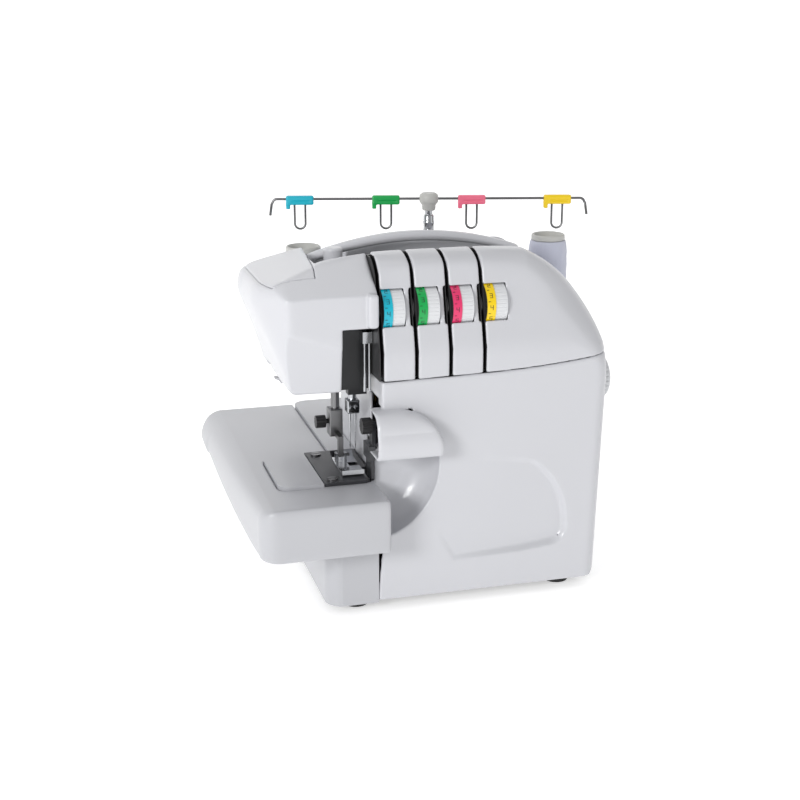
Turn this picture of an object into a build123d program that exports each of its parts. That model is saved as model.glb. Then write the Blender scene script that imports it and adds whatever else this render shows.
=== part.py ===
from build123d import *
from math import cos, pi, radians, sin
import os

# A four-thread serger overlock machine, one STEP file per piece, in millimetres.
# X runs to the machine's right, Y to its back and Z up. The origin is on the table, under the
# middle of the whole machine, so every height is a height above the table.

# ---------------------------------------------------------------- driving dimensions
WALL = 2.6                       # moulded casing thickness
SEAM = 0.5                       # gap between neighbouring covers
RUN = 0.05                       # radial play of a shaft in its bore

FOOT_H, FOOT_R = 6.0, 10.0       # rubber feet
FRONT, BACK = -108.5, 40.0       # front and back planes of the column
COLUMN_L, COLUMN_R, COLUMN_CORNER = -57.0, 131.0, 28.0
PANEL_L = -61.0                  # left end of the form that the tension panels are cut from
PANEL_BACK = -66.0               # back edge of the tension panels
SEAM_Z, SEAM_RISE = 189.0, 7.0   # seam under the panels, and how far it climbs to the right
CREASE_Z = 211.0                 # where the panels start to lean back
BROW_Y, BROW_Z = -93.0, 270.0    # where they turn over to the top
CROWN_Z = 283.5                  # highest line of the panels
WELL_FLOOR, RIDGE_TOP = 258.0, 276.0   # handle well, and the ridge behind it
WELL_BACK = 12.0

BED_TOP, BED_BOTTOM = 105.5, 61.0
TABLE_FRONT, TABLE_BACK = -140.0, 140.0
TABLE_L, TABLE_R = -169.0, -59.0
ARM_L, ARM_FRONT, ARM_BACK = -137.5, -93.6, -17.0    # free arm, which the table goes round
TABLE_SEAM = -80.7               # seam between table and fixed bed
PEDESTAL_L = -103.0
DECK_R = 118.0                   # right end of the rear deck
PLATE_L, PLATE_BACK = -101.0, -14.0
PLATE_T = 2.5
TRAY_FRONT, TRAY_BACK = -97.0, 34.4   # base tray, its front edge behind the opening cover

HEAD_FRONT, HEAD_BACK, HEAD_R = -107.0, 22.0, -60.4
CHIN_Z, RECESS_Z = 181.0, 231.0  # underside of the head, and of the part beside the column
RECESS_L, RECESS_BACK = -88.0, -72.0

NEEDLE_X, NEEDLE_Y, NEEDLE_BAR_R = -70.0, -58.0, 3.2
NEEDLE_GAP = 2.2                 # half the distance between the two needles
CLAMP_Z, NEEDLE_TIP_Z = 157.0, 121.0
PRESSER_X, PRESSER_Y, PRESSER_R = -79.0, -36.0, 3.5
LIFTER_X, LIFTER_Z = -112.0, 196.0    # pivot of the presser foot lifter
SOLE_Z = 106.4                   # underside of the lowered presser foot

SLOT_X, SLOT_W, SLOT_PITCH = -60.0, 4.1, 27.5        # thread slots between the panels
DIAL_R, DIAL_Y, DIAL_Z = 18.0, -87.2, 241.5
RING_W, DRUM_W = 7.0, 9.8        # numbered ring and ribbed drum of a tension dial
STUD_R = 2.0
DIALS = range(4)

HANDLE_Y, HANDLE_PIVOT_Z = -12.5, 267.0
HANDLE_L, HANDLE_R, HANDLE_TOP = -95.0, 84.0, 286.3
HANDLE_T, HANDLE_W = 8.5, 13.0

STAND_X, SPOOL_Y, SPOOL_PITCH = 30.0, 64.3, 74.8
TRAY_Z, TRAY_T = 156.0, 3.0
SPOOL_TOP, SPOOL_RIM_R, THREAD_R = 266.0, 15.0, 17.6
PIN_R = 3.0
POLE_R, POLE_BORE, POLE_TOP = 5.0, 3.4, 288.0
BAR_Z, WIRE_R, BAR_HALF = 302.0, 1.1, 136.0
BAR_TURN = -14.0                 # how far the guide bar stands askew, in degrees
LOOP_W, LOOP_H, CAP_R = 11.5, 22.0, 8.2
CLIP_L, CLIP_H, CLIP_W = 24.0, 8.0, 6.0

SHAFT_Y, SHAFT_Z, SHAFT_R = -12.5, 153.0, 6.0
WHEEL_X, WHEEL_W, WHEEL_R = 133.0, 34.0, 19.0
PULLEY_X, PULLEY_W, SHAFT_PULLEY_R, MOTOR_PULLEY_R = 100.0, 9.0, 27.0, 9.0
MOTOR_Z, MOTOR_R, MOTOR_L = 60.0, 27.0, 62.0
BELT_T = 1.6
UPRIGHTS = (-40.0, 84.0)         # left faces of the two chassis walls
UPRIGHT_T = 6.0
KNIFE_AXIS = (-88.0, 149.0)      # (y, z) of the shaft that the upper knife rocks on
LOOPER_PIVOTS = ((-48.0, 78.0), (-38.0, 84.0))       # (x, z) of the two looper shafts

HINGE_Y, HINGE_Z, HINGE_R = -101.5, 14.5, 1.6        # bottom hinge of the looper cover
HINGE_LUGS, LUG_R, DOOR_SLIDE = (-44.0, 22.0, 88.0), 3.2, 10.0
DOOR_BACK = -96.0                # how far the looper cover wraps round the corner
DOOR_L = -58.0
DIAL_SIDE_Y, DIAL_SIDE_Z = -60.0, 118.0              # stitch length dial on the right side
ROCKER_X = 126.0                 # pivot of the power switch
SCOOP_X, SCOOP_Z, SCOOP_R, SCOOP_DEPTH = -72.0, 120.0, 60.0, 26.0
SLEEVE_L, SLEEVE_TOP, SLEEVE_BOTTOM, SLEEVE_FRONT = -67.5, 169.0, 130.0, -127.0

BEND = 1 - 0.5 ** 0.5            # how far inside its corner a round corner's middle lies
NEW = {}                         # node name -> list of its solids


# ---------------------------------------------------------------- helpers
def add(name, *solids):
    """File solids under a node."""
    NEW.setdefault(name, []).extend(solids)


def block(x, y, z):
    """A box from three (low, high) pairs."""
    centre = Pos((x[0] + x[1]) / 2, (y[0] + y[1]) / 2, (z[0] + z[1]) / 2)
    return centre * Box(x[1] - x[0], y[1] - y[0], z[1] - z[0])


def soft_block(x, y, z, radius):
    """A box with every edge rounded."""
    solid = block(x, y, z)
    return fillet(solid.edges(), radius)


def rod(start, axis, radius, length):
    """A cylinder from a point along +X, +Y or +Z."""
    direction = {"X": (1, 0, 0), "Y": (0, 1, 0), "Z": (0, 0, 1)}[axis]
    return extrude(Plane(origin=start, z_dir=direction) * Circle(radius), length)


def tube(start, axis, radius, bore, length):
    return rod(start, axis, radius, length) - rod(start, axis, bore, length)


def outline(points, bulges=()):
    """A flat face through (u, v) points; a bulge names the middle point of an arc between
    point i and the next."""
    middles = dict(bulges)
    edges = []
    for i, start in enumerate(points):
        end = points[(i + 1) % len(points)]
        if i in middles:
            edges.append(ThreePointArc(start, middles[i], end))
        else:
            edges.append(Line(start, end))
    return make_face(edges)


def inset(face, by):
    return offset(face, -by, kind=Kind.INTERSECTION) if by else face


def front_view(face, y=(-160.0, 160.0)):
    """Sweep a face drawn in (x, z) from front to back."""
    plane = Plane(origin=(0, y[0], 0), x_dir=(1, 0, 0), z_dir=(0, -1, 0))
    return extrude(plane * face, -(y[1] - y[0]))


def side_view(face, x=(-180.0, 180.0)):
    """Sweep a face drawn in (y, z) from left to right."""
    plane = Plane(origin=(x[0], 0, 0), x_dir=(0, 1, 0), z_dir=(1, 0, 0))
    return extrude(plane * face, x[1] - x[0])


def top_view(face, z=(0.0, 320.0)):
    """Sweep a face drawn in (x, y) upwards."""
    return extrude(Pos(0, 0, z[0]) * face, z[1] - z[0])


def slot_left(i):
    return SLOT_X + i * SLOT_PITCH


def panel_left(i):
    return slot_left(i) + SLOT_W


def spool_x(i):
    return STAND_X + (i - 1.5) * SPOOL_PITCH


# ---------------------------------------------------------------- forms of the casings
def column_form(by, left):
    """The body of the machine to the right of the head, shrunk by a wall thickness."""
    r = COLUMN_CORNER
    front = outline(
        [(left, FOOT_H + 4), (126.0, FOOT_H + 4), (COLUMN_R, 180.0), (129.5, 206.0),
         (66.0, 281.0), (left, 281.5)],
        [(3, (107.5, 250.0)), (4, (0.0, CROWN_Z + 2.5))])
    side = outline(
        [(FRONT, 0.0), (FRONT, CREASE_Z), (BROW_Y, BROW_Z), (PANEL_BACK, CROWN_Z),
         (8.0, RIDGE_TOP), (BACK, 240.0), (BACK, 0.0)],
        [(2, (-83.0, 279.5)), (4, (30.5, 266.5))])
    plan = outline(
        [(left, FRONT), (COLUMN_R - r, FRONT), (COLUMN_R, FRONT + r), (COLUMN_R, BACK - r),
         (COLUMN_R - r, BACK), (left, BACK)],
        [(1, (COLUMN_R - r * BEND, FRONT + r * BEND)), (3, (COLUMN_R - r * BEND, BACK - r * BEND))])
    return front_view(inset(front, by)) & side_view(inset(side, by)) & top_view(inset(plan, by))


def head_form(by):
    """The head over the needles."""
    front = outline(
        [(-123.0, CHIN_Z), (-129.0, 188.0), (-151.5, 244.0), (-147.0, 262.0), (-96.0, 277.5),
         (HEAD_R, CROWN_Z), (HEAD_R, RECESS_Z), (HEAD_R, CHIN_Z)],
        [(0, (-127.0, 183.0)), (1, (-137.0, 215.5)), (2, (-151.8, 254.0))])
    side = outline(
        [(-101.0, CHIN_Z), (-103.5, 208.0), (HEAD_FRONT, 214.0), (-105.0, 256.0),
         (-92.0, 268.0), (PANEL_BACK, CROWN_Z), (-30.0, CROWN_Z), (HEAD_BACK, 250.0),
         (HEAD_BACK, CHIN_Z)],
        [(6, (6.0, 274.0))])
    plan = outline(
        [(HEAD_R, HEAD_FRONT), (-117.0, HEAD_FRONT), (-152.0, -58.0), (-152.0, -20.0),
         (-126.0, HEAD_BACK), (HEAD_R, HEAD_BACK)],
        [(1, (-139.0, -95.0)), (3, (-147.0, 11.0))])
    return front_view(inset(front, by)) & side_view(inset(side, by)) & top_view(inset(plan, by))


def table_form(by):
    """The whole cloth table before the free arm is cut out of it."""
    front = outline(
        [(TABLE_R, BED_TOP), (-150.0, BED_TOP), (TABLE_L, 80.0), (-163.0, 55.0),
         (TABLE_R, 55.0)],
        [(1, (-161.5, 99.0)), (2, (-168.0, 66.0))])
    side = outline(
        [(TABLE_FRONT, 96.0), (-131.0, BED_TOP), (131.0, BED_TOP), (TABLE_BACK, 96.0),
         (TABLE_BACK, 78.0), (-100.0, BED_BOTTOM), (TABLE_FRONT, BED_BOTTOM)],
        [(0, (-137.5, 103.0)), (2, (137.5, 103.0))])
    plan = outline(
        [(TABLE_R, TABLE_FRONT), (-143.0, TABLE_FRONT), (-160.0, -122.0), (TABLE_L, 90.0),
         (-150.0, TABLE_BACK), (TABLE_R, TABLE_BACK)],
        [(1, (-155.5, -135.5)), (2, (-167.0, -16.0)), (3, (-166.0, 134.0))])
    return front_view(inset(front, by)) & side_view(inset(side, by)) & top_view(inset(plan, by))


def open_below(solid):
    """A hollow carried down through the bottom, so that the shell has no floor."""
    return solid + Pos(0, 0, -8) * solid


def under_seam(drop=0.0):
    """Everything below the seam under the tension panels."""
    line = outline(
        [(-200.0, 0.0), (200.0, 0.0), (200.0, SEAM_Z + SEAM_RISE + 4 - drop),
         (-200.0, SEAM_Z - drop)],
        [(2, (20.0, SEAM_Z + 1.2 - drop))])
    return front_view(line)


# ---------------------------------------------------------------- bottom and bed
def base_and_feet():
    tray = soft_block((PEDESTAL_L + 3, 118.0), (TRAY_FRONT, TRAY_BACK),
                      (FOOT_H, FOOT_H + 4), 1.5)
    for x in HINGE_LUGS:
        tray += rod((x - 4, HINGE_Y, HINGE_Z), "X", LUG_R, 8.0)
        tray += block((x - 4, x + 4), (HINGE_Y, TRAY_FRONT + 5), (HINGE_Z - LUG_R, HINGE_Z + LUG_R))
        tray += block((x - 4, x + 4), (TRAY_FRONT, TRAY_FRONT + 5), (FOOT_H + 1.5, HINGE_Z))
    tray -= rod((-60.0, HINGE_Y, HINGE_Z), "X", HINGE_R + RUN, 180.0)
    add("base_tray", tray)
    for x, y in ((-76.0, -88.0), (98.0, -86.0), (-76.0, 24.0), (98.0, 22.0)):
        foot = rod((x, y, 0.0), "Z", FOOT_R, FOOT_H)
        foot -= Pos(x, y, 0) * Cylinder(FOOT_R * 0.55, 1.6)
        add("rubber_feet", fillet(foot.edges().filter_by(GeomType.CIRCLE).sort_by(Axis.Z)[-1:],
                                  1.0))


def bed():
    """Pedestal, free arm, fixed bed and rear deck in one casing."""
    top = BED_TOP
    pedestal_face = outline(
        [(PEDESTAL_L, FRONT + 14), (PEDESTAL_L + 12, FRONT), (COLUMN_L - 4.6, FRONT),
         (COLUMN_L - 4.6, 38.0), (PEDESTAL_L, 38.0)],
        [(0, (PEDESTAL_L + 3.5, FRONT + 4.8))])
    pedestal = top_view(pedestal_face, (FOOT_H + 0.8, BED_BOTTOM - SEAM))
    pedestal -= top_view(inset(pedestal_face, WALL), (FOOT_H + 0.8, BED_BOTTOM - 6))
    pedestal -= block((COLUMN_L - 10, COLUMN_L), (TRAY_FRONT - SEAM, TRAY_BACK + SEAM),
                      (0.0, FOOT_H + 4.5))
    arm_l, arm_r, r = ARM_L + SEAM, TABLE_R - SEAM, 9.0
    arm_y = (ARM_FRONT + SEAM, ARM_BACK - SEAM)
    arm_face = outline(
        [(arm_r, arm_y[0]), (arm_l + r, arm_y[0]), (arm_l, arm_y[0] + r), (arm_l, arm_y[1] - r),
         (arm_l + r, arm_y[1]), (arm_r, arm_y[1])],
        [(1, (arm_l + r * BEND, arm_y[0] + r * BEND)),
         (3, (arm_l + r * BEND, arm_y[1] - r * BEND))])
    floor = BED_BOTTOM - 6
    arm = top_view(arm_face, (floor, top))
    arm -= top_view(inset(arm_face, WALL), (floor + WALL, top - WALL))
    rear = block((TABLE_SEAM + SEAM, COLUMN_L - SEAM), (ARM_BACK - SEAM, BACK + 4), (floor, top))
    rear -= block((TABLE_SEAM + 3, COLUMN_L - 3), (ARM_BACK - 6, BACK - 3), (floor - 1, top - 3))
    deck = block((TABLE_SEAM + SEAM, DECK_R), (BACK + SEAM, TABLE_BACK - 2), (82.0, top))
    deck = fillet(deck.edges().filter_by(Axis.Z).sort_by(Axis.Y)[-2:], 12.0)
    deck -= block((TABLE_SEAM + 3, DECK_R - 3), (BACK + 3, TABLE_BACK - 5), (81.0, top - 3))
    casing = pedestal + arm + rear + deck
    casing -= block((PEDESTAL_L + 4, COLUMN_L - 8), (-84.0, 30.0), (BED_BOTTOM - 12, 75.0))
    plate_room = block((PLATE_L - SEAM, 0.0), (ARM_FRONT, PLATE_BACK + SEAM),
                       (top - PLATE_T - 0.1, top + 2))
    well = block((PLATE_L + 5, 0.0), (ARM_FRONT + 6, PLATE_BACK - 10), (floor + 8, top))
    add("bed_casing", casing - plate_room - well)


def needle_plate():
    top = BED_TOP + 0.4
    low = top - PLATE_T
    plate = block((PLATE_L, TABLE_R - SEAM), (ARM_FRONT + 0.4, PLATE_BACK), (low, top))
    plate -= block((NEEDLE_X - 4, NEEDLE_X + 4), (NEEDLE_Y - 2, NEEDLE_Y + 2), (low - 1, top + 1))
    plate -= block((-66.5, TABLE_R + 1), (ARM_FRONT + 0.3, NEEDLE_Y - 3.5), (low - 1, top + 1))
    for k in range(3):
        x = NEEDLE_X - 9.0 + 5.2 * k
        plate -= block((x, x + 3.0), (-53.2, -28.0), (low - 1, top + 1))
    for x, y in ((PLATE_L + 8, PLATE_BACK - 8), (PLATE_L + 8, ARM_FRONT + 9)):
        plate -= rod((x, y, low - 1), "Z", 2.1, PLATE_T + 2)
        screw = rod((x, y, low - 7), "Z", 2.0, 7.0 + PLATE_T)
        screw += rod((x, y, top), "Z", 4.2, 1.1)
        screw -= block((x - 5, x + 5), (y - 0.5, y + 0.5), (top + 0.4, top + 2))
        add("casing_screws", screw)
    for x, y in ((PLATE_L + 8, PLATE_BACK - 8), (PLATE_L + 8, ARM_FRONT + 9)):
        NEW["bed_casing"][0] -= rod((x, y, low - 8), "Z", 2.0, 9.0)
    add("needle_plate", plate)


def feed_and_loopers():
    """Feed dogs, loopers and knives, all reached through the looper cover."""
    top = BED_TOP - 1.2
    rows = block((-80.5, -66.0), (-55.0, -30.0), (top - 12, top - 8))
    for k in range(3):
        x = NEEDLE_X - 9.0 + 5.2 * k + 0.4
        bar = block((x, x + 2.2), (-51.0, -33.0), (top - 9, top))
        for tooth in range(8):
            y = -50.5 + 2.2 * tooth
            bar -= block((x - 1, x + 4), (y, y + 1.0), (top - 0.9, top + 1))
        rows += bar
    rows += block((-75.5, -71.0), (-32.0, -24.0), (top - 24, top - 8))
    add("feed_dogs", rows)

    lower_at, upper_at = LOOPER_PIVOTS
    lower = rod((lower_at[0], -60.0, lower_at[1]), "Y", 5.0, 12.0)
    lower += block((-51.0, -45.5), (-60.0, -56.0), (78.0, 98.0))
    lower += block((-64.0, -45.5), (-60.0, -57.5), (95.0, 98.0))
    add("lower_looper", lower - rod((lower_at[0], -61.0, lower_at[1]), "Y", 2.05, 14.0))
    upper = rod((upper_at[0], -76.0, upper_at[1]), "Y", 5.0, 12.0)
    upper += block((-40.5, -35.5), (-76.0, -72.0), (84.0, 118.0))
    upper += block((-54.0, -35.5), (-76.0, -73.5), (114.5, 118.0))
    add("upper_looper", upper - rod((upper_at[0], -77.0, upper_at[1]), "Y", 2.05, 14.0))

    knife = block((-65.0, -62.6), (-88.0, -64.0), (96.0, 103.0))
    add("lower_knife", knife)
    axis_y, axis_z = KNIFE_AXIS
    mover = block((-62.0, -60.0), (axis_y, axis_y + 18), (104.0, 124.0))
    mover += block((-65.0, -60.0), (axis_y - 5, axis_y + 14), (121.0, 133.0))
    mover += block((-62.5, -59.0), (axis_y - 4, axis_y + 4), (130.0, axis_z + 4))
    mover += rod((-59.0, axis_y, axis_z), "X", 3.5, 30.0)
    add("upper_knife", mover)
    knob = rod((-70.0, axis_y, axis_z), "X", 6.5, 7.5)
    for k in range(12):
        y, z = axis_y + 6.8 * cos(pi * k / 6), axis_z + 6.8 * sin(pi * k / 6)
        knob -= rod((-70.5, y, z), "X", 1.0, 8.5)
    add("knife_knob", knob)


# ---------------------------------------------------------------- casings
def extension_table():
    """A C-shaped hollow table that slides off to the left."""
    cut = block((ARM_L, 0.0), (ARM_FRONT, ARM_BACK), (0.0, 200.0))
    for corner in (ARM_FRONT, ARM_BACK):
        cut = fillet(cut.edges().filter_by(Axis.Z).filter_by_position(Axis.Y, corner - 1, corner + 1)
                     .sort_by(Axis.X)[0], 9.0)
    beside = block((TABLE_SEAM, 0.0), (ARM_FRONT, 200.0), (0.0, 200.0))
    beside += block((PLATE_L - SEAM, 0.0), (ARM_FRONT, PLATE_BACK + SEAM), (0.0, 200.0))
    wider = block((ARM_L - WALL, 0.0), (ARM_FRONT - WALL, ARM_BACK + WALL), (0.0, 200.0))
    wider += block((TABLE_SEAM - WALL, 0.0), (ARM_FRONT - WALL, 200.0), (0.0, 200.0))
    wider += block((PLATE_L - SEAM - WALL, 0.0), (ARM_FRONT, PLATE_BACK + 3), (0.0, 200.0))
    pedestal = block((PEDESTAL_L - 2, 0.0), (FRONT - 1, 45.0), (0.0, BED_BOTTOM + 0.1))
    hollow = table_form(WALL) - wider
    hollow += Pos(0, 0, -30) * (table_form(WALL) - wider - block((-200, 0), (-200, 200), (90, 200)))
    add("extension_table", table_form(0) - cut - beside - hollow - pedestal)


def looper_cover():
    """The hinged front door with the knife sleeve and the scrap chute."""
    left = outline(
        [(DOOR_L - 3.6, 0.0), (140.0, 0.0), (140.0, 300.0), (DOOR_L, 300.0), (DOOR_L, 60.0)],
        [(4, (DOOR_L - 1.2, 28.0))])
    scoop = rod((SCOOP_X, FRONT - 20, SCOOP_Z), "Y", SCOOP_R, 20 + SCOOP_DEPTH)
    scoop = fillet(scoop.edges().sort_by(Axis.Y)[-1], SCOOP_DEPTH - 4)
    behind = rod((SCOOP_X, FRONT - 20, SCOOP_Z), "Y", SCOOP_R + WALL, 20 + SCOOP_DEPTH + WALL)
    behind = fillet(behind.edges().sort_by(Axis.Y)[-1], SCOOP_DEPTH - 4)
    low = block((-200, 200), (-200, 200), (0, SLEEVE_BOTTOM - 1.5))
    region = front_view(left, (-200.0, DOOR_BACK)) & under_seam(SEAM)
    outer = column_form(0, DOOR_L - 4) & region
    bowl = (behind - scoop) & low & column_form(0, DOOR_L - 4) & front_view(left)
    bowl -= block((-200, 200), (FRONT + SCOOP_DEPTH + 2, 200), (0, 300))
    door = outer - open_below(column_form(WALL, DOOR_L - 9) & region) - (scoop & low)
    door += bowl
    barrel = outline(
        [(FRONT + 1, SLEEVE_TOP), (SLEEVE_FRONT, 152.0), (SLEEVE_FRONT + 1.5, SLEEVE_BOTTOM),
         (FRONT + 1, SLEEVE_BOTTOM)],
        [(0, (-121.5, 164.5)), (1, (SLEEVE_FRONT - 1.6, 141.0))])
    nose = outline(
        [(SLEEVE_L, SLEEVE_BOTTOM), (-13.5, SLEEVE_BOTTOM), (-33.0, 165.0), (-45.0, SLEEVE_TOP),
         (SLEEVE_L, SLEEVE_TOP)],
        [(1, (-17.5, 152.0))])
    barrel_in = outline(
        [(FRONT + 1, SLEEVE_TOP - WALL), (SLEEVE_FRONT + WALL, 151.0),
         (SLEEVE_FRONT + 1.2 + WALL, SLEEVE_BOTTOM + WALL), (FRONT + 1, SLEEVE_BOTTOM + WALL)],
        [(0, (-119.8, 162.3)), (1, (SLEEVE_FRONT + 1.2, 141.0))])
    sleeve = side_view(barrel, (SLEEVE_L, 0)) & front_view(nose)
    bore = side_view(barrel_in, (SLEEVE_L - 1, 0)) & front_view(inset(nose, WALL)
                                                               + Pos(SLEEVE_L, 149.5)
                                                               * Rectangle(12, 33.8))
    window = block((SLEEVE_L, -34.0), (FRONT - 1, DOOR_BACK + 1),
                   (SLEEVE_BOTTOM + WALL, SLEEVE_TOP - WALL))
    heel = block((-200, 200), (DOOR_BACK - 2.3, 0.0), (0.0, HINGE_Z - 0.9))
    door = door + sleeve - bore - window - heel
    lug_room = HINGE_LUGS[0] + 5, HINGE_LUGS[1] + 5
    for x in lug_room:
        door += rod((x + DOOR_SLIDE / 4, HINGE_Y, HINGE_Z), "X", 3.3, 40.0)
        door += block((x + DOOR_SLIDE / 4, x + DOOR_SLIDE / 4 + 40), (FRONT + 1, HINGE_Y),
                      (HINGE_Z - 3, HINGE_Z + 3))
    pin_start, pin_length = HINGE_LUGS[0] - 6, HINGE_LUGS[2] - HINGE_LUGS[0] + 12
    door -= rod((pin_start - 30, HINGE_Y, HINGE_Z), "X", HINGE_R + RUN, pin_length + 60)
    add("looper_cover", door)
    add("cover_hinge_pin", rod((pin_start, HINGE_Y, HINGE_Z), "X", HINGE_R, pin_length))


def tension_panels():
    """Three narrow panels and the big right one, each with its dial window."""
    shell = column_form(0, PANEL_L) - column_form(WALL, PANEL_L - 9)
    shell -= block((-200, 200), (PANEL_BACK, 200), (0, 300))
    shell -= under_seam()
    shell += (column_form(0, PANEL_L) - under_seam()) & block(
        (PANEL_L, 75.0), (PANEL_BACK - WALL, PANEL_BACK), (WELL_FLOOR - 12, 300))
    for i in DIALS:
        shell -= rod((panel_left(i) - 1, DIAL_Y, DIAL_Z), "X", DIAL_R + 0.7,
                     RING_W + DRUM_W + 1.6)
    names = ("panel_segment_1", "panel_segment_2", "panel_segment_3", "right_panel")
    for i, name in enumerate(names):
        end = slot_left(i + 1) if i < 3 else 200.0
        add(name, shell & block((panel_left(i), end), (-200, 200), (0, 320)))


def thread_slots():
    """Black channels between the panels, with the discs and studs of the dials."""
    liner_form = column_form(1.2, PANEL_L - 2) - under_seam(-1.0)
    for i in DIALS:
        x = slot_left(i)
        channel = block((x + 0.05, x + SLOT_W - 0.05), (-200, PANEL_BACK - 0.3), (0, 300))
        hollow = block((x + 0.75, x + SLOT_W - 0.75), (-200, PANEL_BACK - 4), (0, 320))
        liner = (liner_form & channel) - hollow
        liner -= rod((x + 1, DIAL_Y, DIAL_Z), "X", STUD_R + 0.3, SLOT_W)
        add("thread_guides", liner)
        for k in (0, 1):
            disc = rod((x + 1.1 + 1.2 * k, DIAL_Y, DIAL_Z), "X", 9.0, 0.7)
            add("tension_discs", disc - rod((x, DIAL_Y, DIAL_Z), "X", STUD_R, SLOT_W))
        add("tension_discs", rod((x + 0.9, DIAL_Y, DIAL_Z), "X", STUD_R, 23.0))
        dial(i)


def dial(i):
    """Numbered ring and ribbed drum that turn together on a stud."""
    x = panel_left(i) + 0.3
    bore = rod((x - 1, DIAL_Y, DIAL_Z), "X", STUD_R + RUN, 30.0)
    ring = rod((x, DIAL_Y, DIAL_Z), "X", DIAL_R, RING_W)
    ring -= rod((x + 2, DIAL_Y, DIAL_Z), "X", DIAL_R - 3, RING_W)
    add(f"dial_ring_{i + 1}", ring - bore)
    drum = rod((x + RING_W, DIAL_Y, DIAL_Z), "X", DIAL_R - 0.6, DRUM_W)
    ribs = 36
    for k in range(ribs):
        angle = 2 * pi * k / ribs
        y, z = DIAL_Y + cos(angle) * DIAL_R, DIAL_Z + sin(angle) * DIAL_R
        drum -= rod((x + RING_W + 0.8, y, z), "X", 0.9, DRUM_W - 1.6)
    drum -= rod((x + RING_W - 1, DIAL_Y, DIAL_Z), "X", DIAL_R - 4, 4.0)
    drum -= bore
    add(f"dial_drum_{i + 1}", drum)


def head():
    recess = block((RECESS_L, 0.0), (-200, RECESS_BACK), (0, RECESS_Z))
    thick_recess = block((RECESS_L - WALL, 0.0), (-200, RECESS_BACK + WALL), (0, RECESS_Z + WALL))
    lid_end = HANDLE_L - 3
    well_left = lid_end - 2
    whole = head_form(0) - recess
    hollow = head_form(WALL) - thick_recess
    lid = block((-200, lid_end - SEAM), (-88.0 + SEAM, 200), (262.0 + SEAM, 300))
    skirt = block((lid_end - SEAM - WALL, lid_end - SEAM), (-87.0, WELL_BACK), (262.5, 300))
    stub = rod((lid_end - 3, HANDLE_Y, HANDLE_PIVOT_Z), "X", STUD_R, 9.0)
    add("head_top_lid", ((whole - hollow) & lid) + (whole & skirt) + stub)
    shell = whole - handle_well(0, well_left, 0.0) - (hollow - handle_well(WALL, well_left, 0.0))
    shell -= rod((NEEDLE_X, NEEDLE_Y, 150.0), "Z", 7.0, 40.0)
    shell -= rod((PRESSER_X, PRESSER_Y, 150.0), "Z", 6.0, 40.0)
    shell -= rod((PRESSER_X, PRESSER_Y, 250.0), "Z", 8.2, 40.0)
    shell -= block((-132.0, -104.0), (-26.0, -8.0), (150.0, CHIN_Z + 6))
    shell -= block((HEAD_R - WALL - 1, 0.0), (-64.0, -6.0), (CHIN_Z + 5, 250.0))
    shell -= block((-200, lid_end), (-88.0, 200), (262.0, 300))
    boss = block((HEAD_R - 8.5, HEAD_R - 0.1), (HEAD_FRONT - 3.0, HEAD_FRONT + 6), (231.5, 258.0))
    boss = fillet(boss.edges().filter_by(Axis.X).sort_by(Axis.Y)[:2], 3.0)
    add("head_cover", shell + (boss - head_form(WALL)))
    inner = block((RECESS_L + 0.5, HEAD_R), (RECESS_BACK - 4, RECESS_BACK - 2),
                  (176.0, RECESS_Z - 0.5))
    inner += block((-77.0, -62.0), (RECESS_BACK - 2, -66.0), (171.0, 178.0))
    add("arm_inner_cover", inner)


def handle_well(by, left, right):
    """The trough that the carry handle folds into."""
    return block((left - by, right + by), (PANEL_BACK - by, WELL_BACK + by),
                 (WELL_FLOOR - by, 400.0))


def rear_casing():
    """Back, side and top of the column, open where the front covers close it."""
    left, right = -200.0, HANDLE_R + 6
    whole = column_form(0, COLUMN_L) - handle_well(0, left, right)
    hollow = open_below(column_form(WALL, COLUMN_L)) - handle_well(WALL, left, right)
    shell = whole - hollow
    shell -= block((-200, 200), (-200, DOOR_BACK + SEAM), (0, 300))
    shell -= block((-200, 200), (-200, PANEL_BACK + SEAM), (0, 400)) - under_seam()
    shell -= block((-200, -40.0), (-200, PANEL_BACK + SEAM), (0, 300))
    shell -= block((COLUMN_L - 1, -50.0), (-200, -50.0), (55.0, 130.0))
    shell -= block((COLUMN_L - 1, COLUMN_L + WALL + 1), (-64.0, -6.0), (186.0, 250.0))
    shell += rod((HANDLE_R - 6, HANDLE_Y, HANDLE_PIVOT_Z), "X", STUD_R, 13.0)
    shell -= rod((120.0, SHAFT_Y, SHAFT_Z), "X", SHAFT_R + 1.5, 30.0)
    shell -= block((COLUMN_R - 8, COLUMN_R + 5), (-20.0, 24.0), (30.0, 62.0))
    shell -= rod((120.0, DIAL_SIDE_Y, DIAL_SIDE_Z), "X", 4.0, 30.0)
    add("rear_casing", shell)
    tray = block((HANDLE_L - 1, HANDLE_R + 5), (PANEL_BACK + 0.5, WELL_BACK - 0.5),
                 (WELL_FLOOR, WELL_FLOOR + 1.2))
    tray -= rod((PRESSER_X, PRESSER_Y, 200.0), "Z", 9.0, 100.0)
    for i in DIALS:
        x = slot_left(i) + SLOT_W / 2
        fork = block((x - 5, x + 5), (-50.0, -48.0), (WELL_FLOOR, WELL_FLOOR + 17))
        tray += fork - block((x - 1.2, x + 1.2), (-52.0, -46.0), (WELL_FLOOR + 9, 300))
    add("thread_guides", tray)


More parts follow.
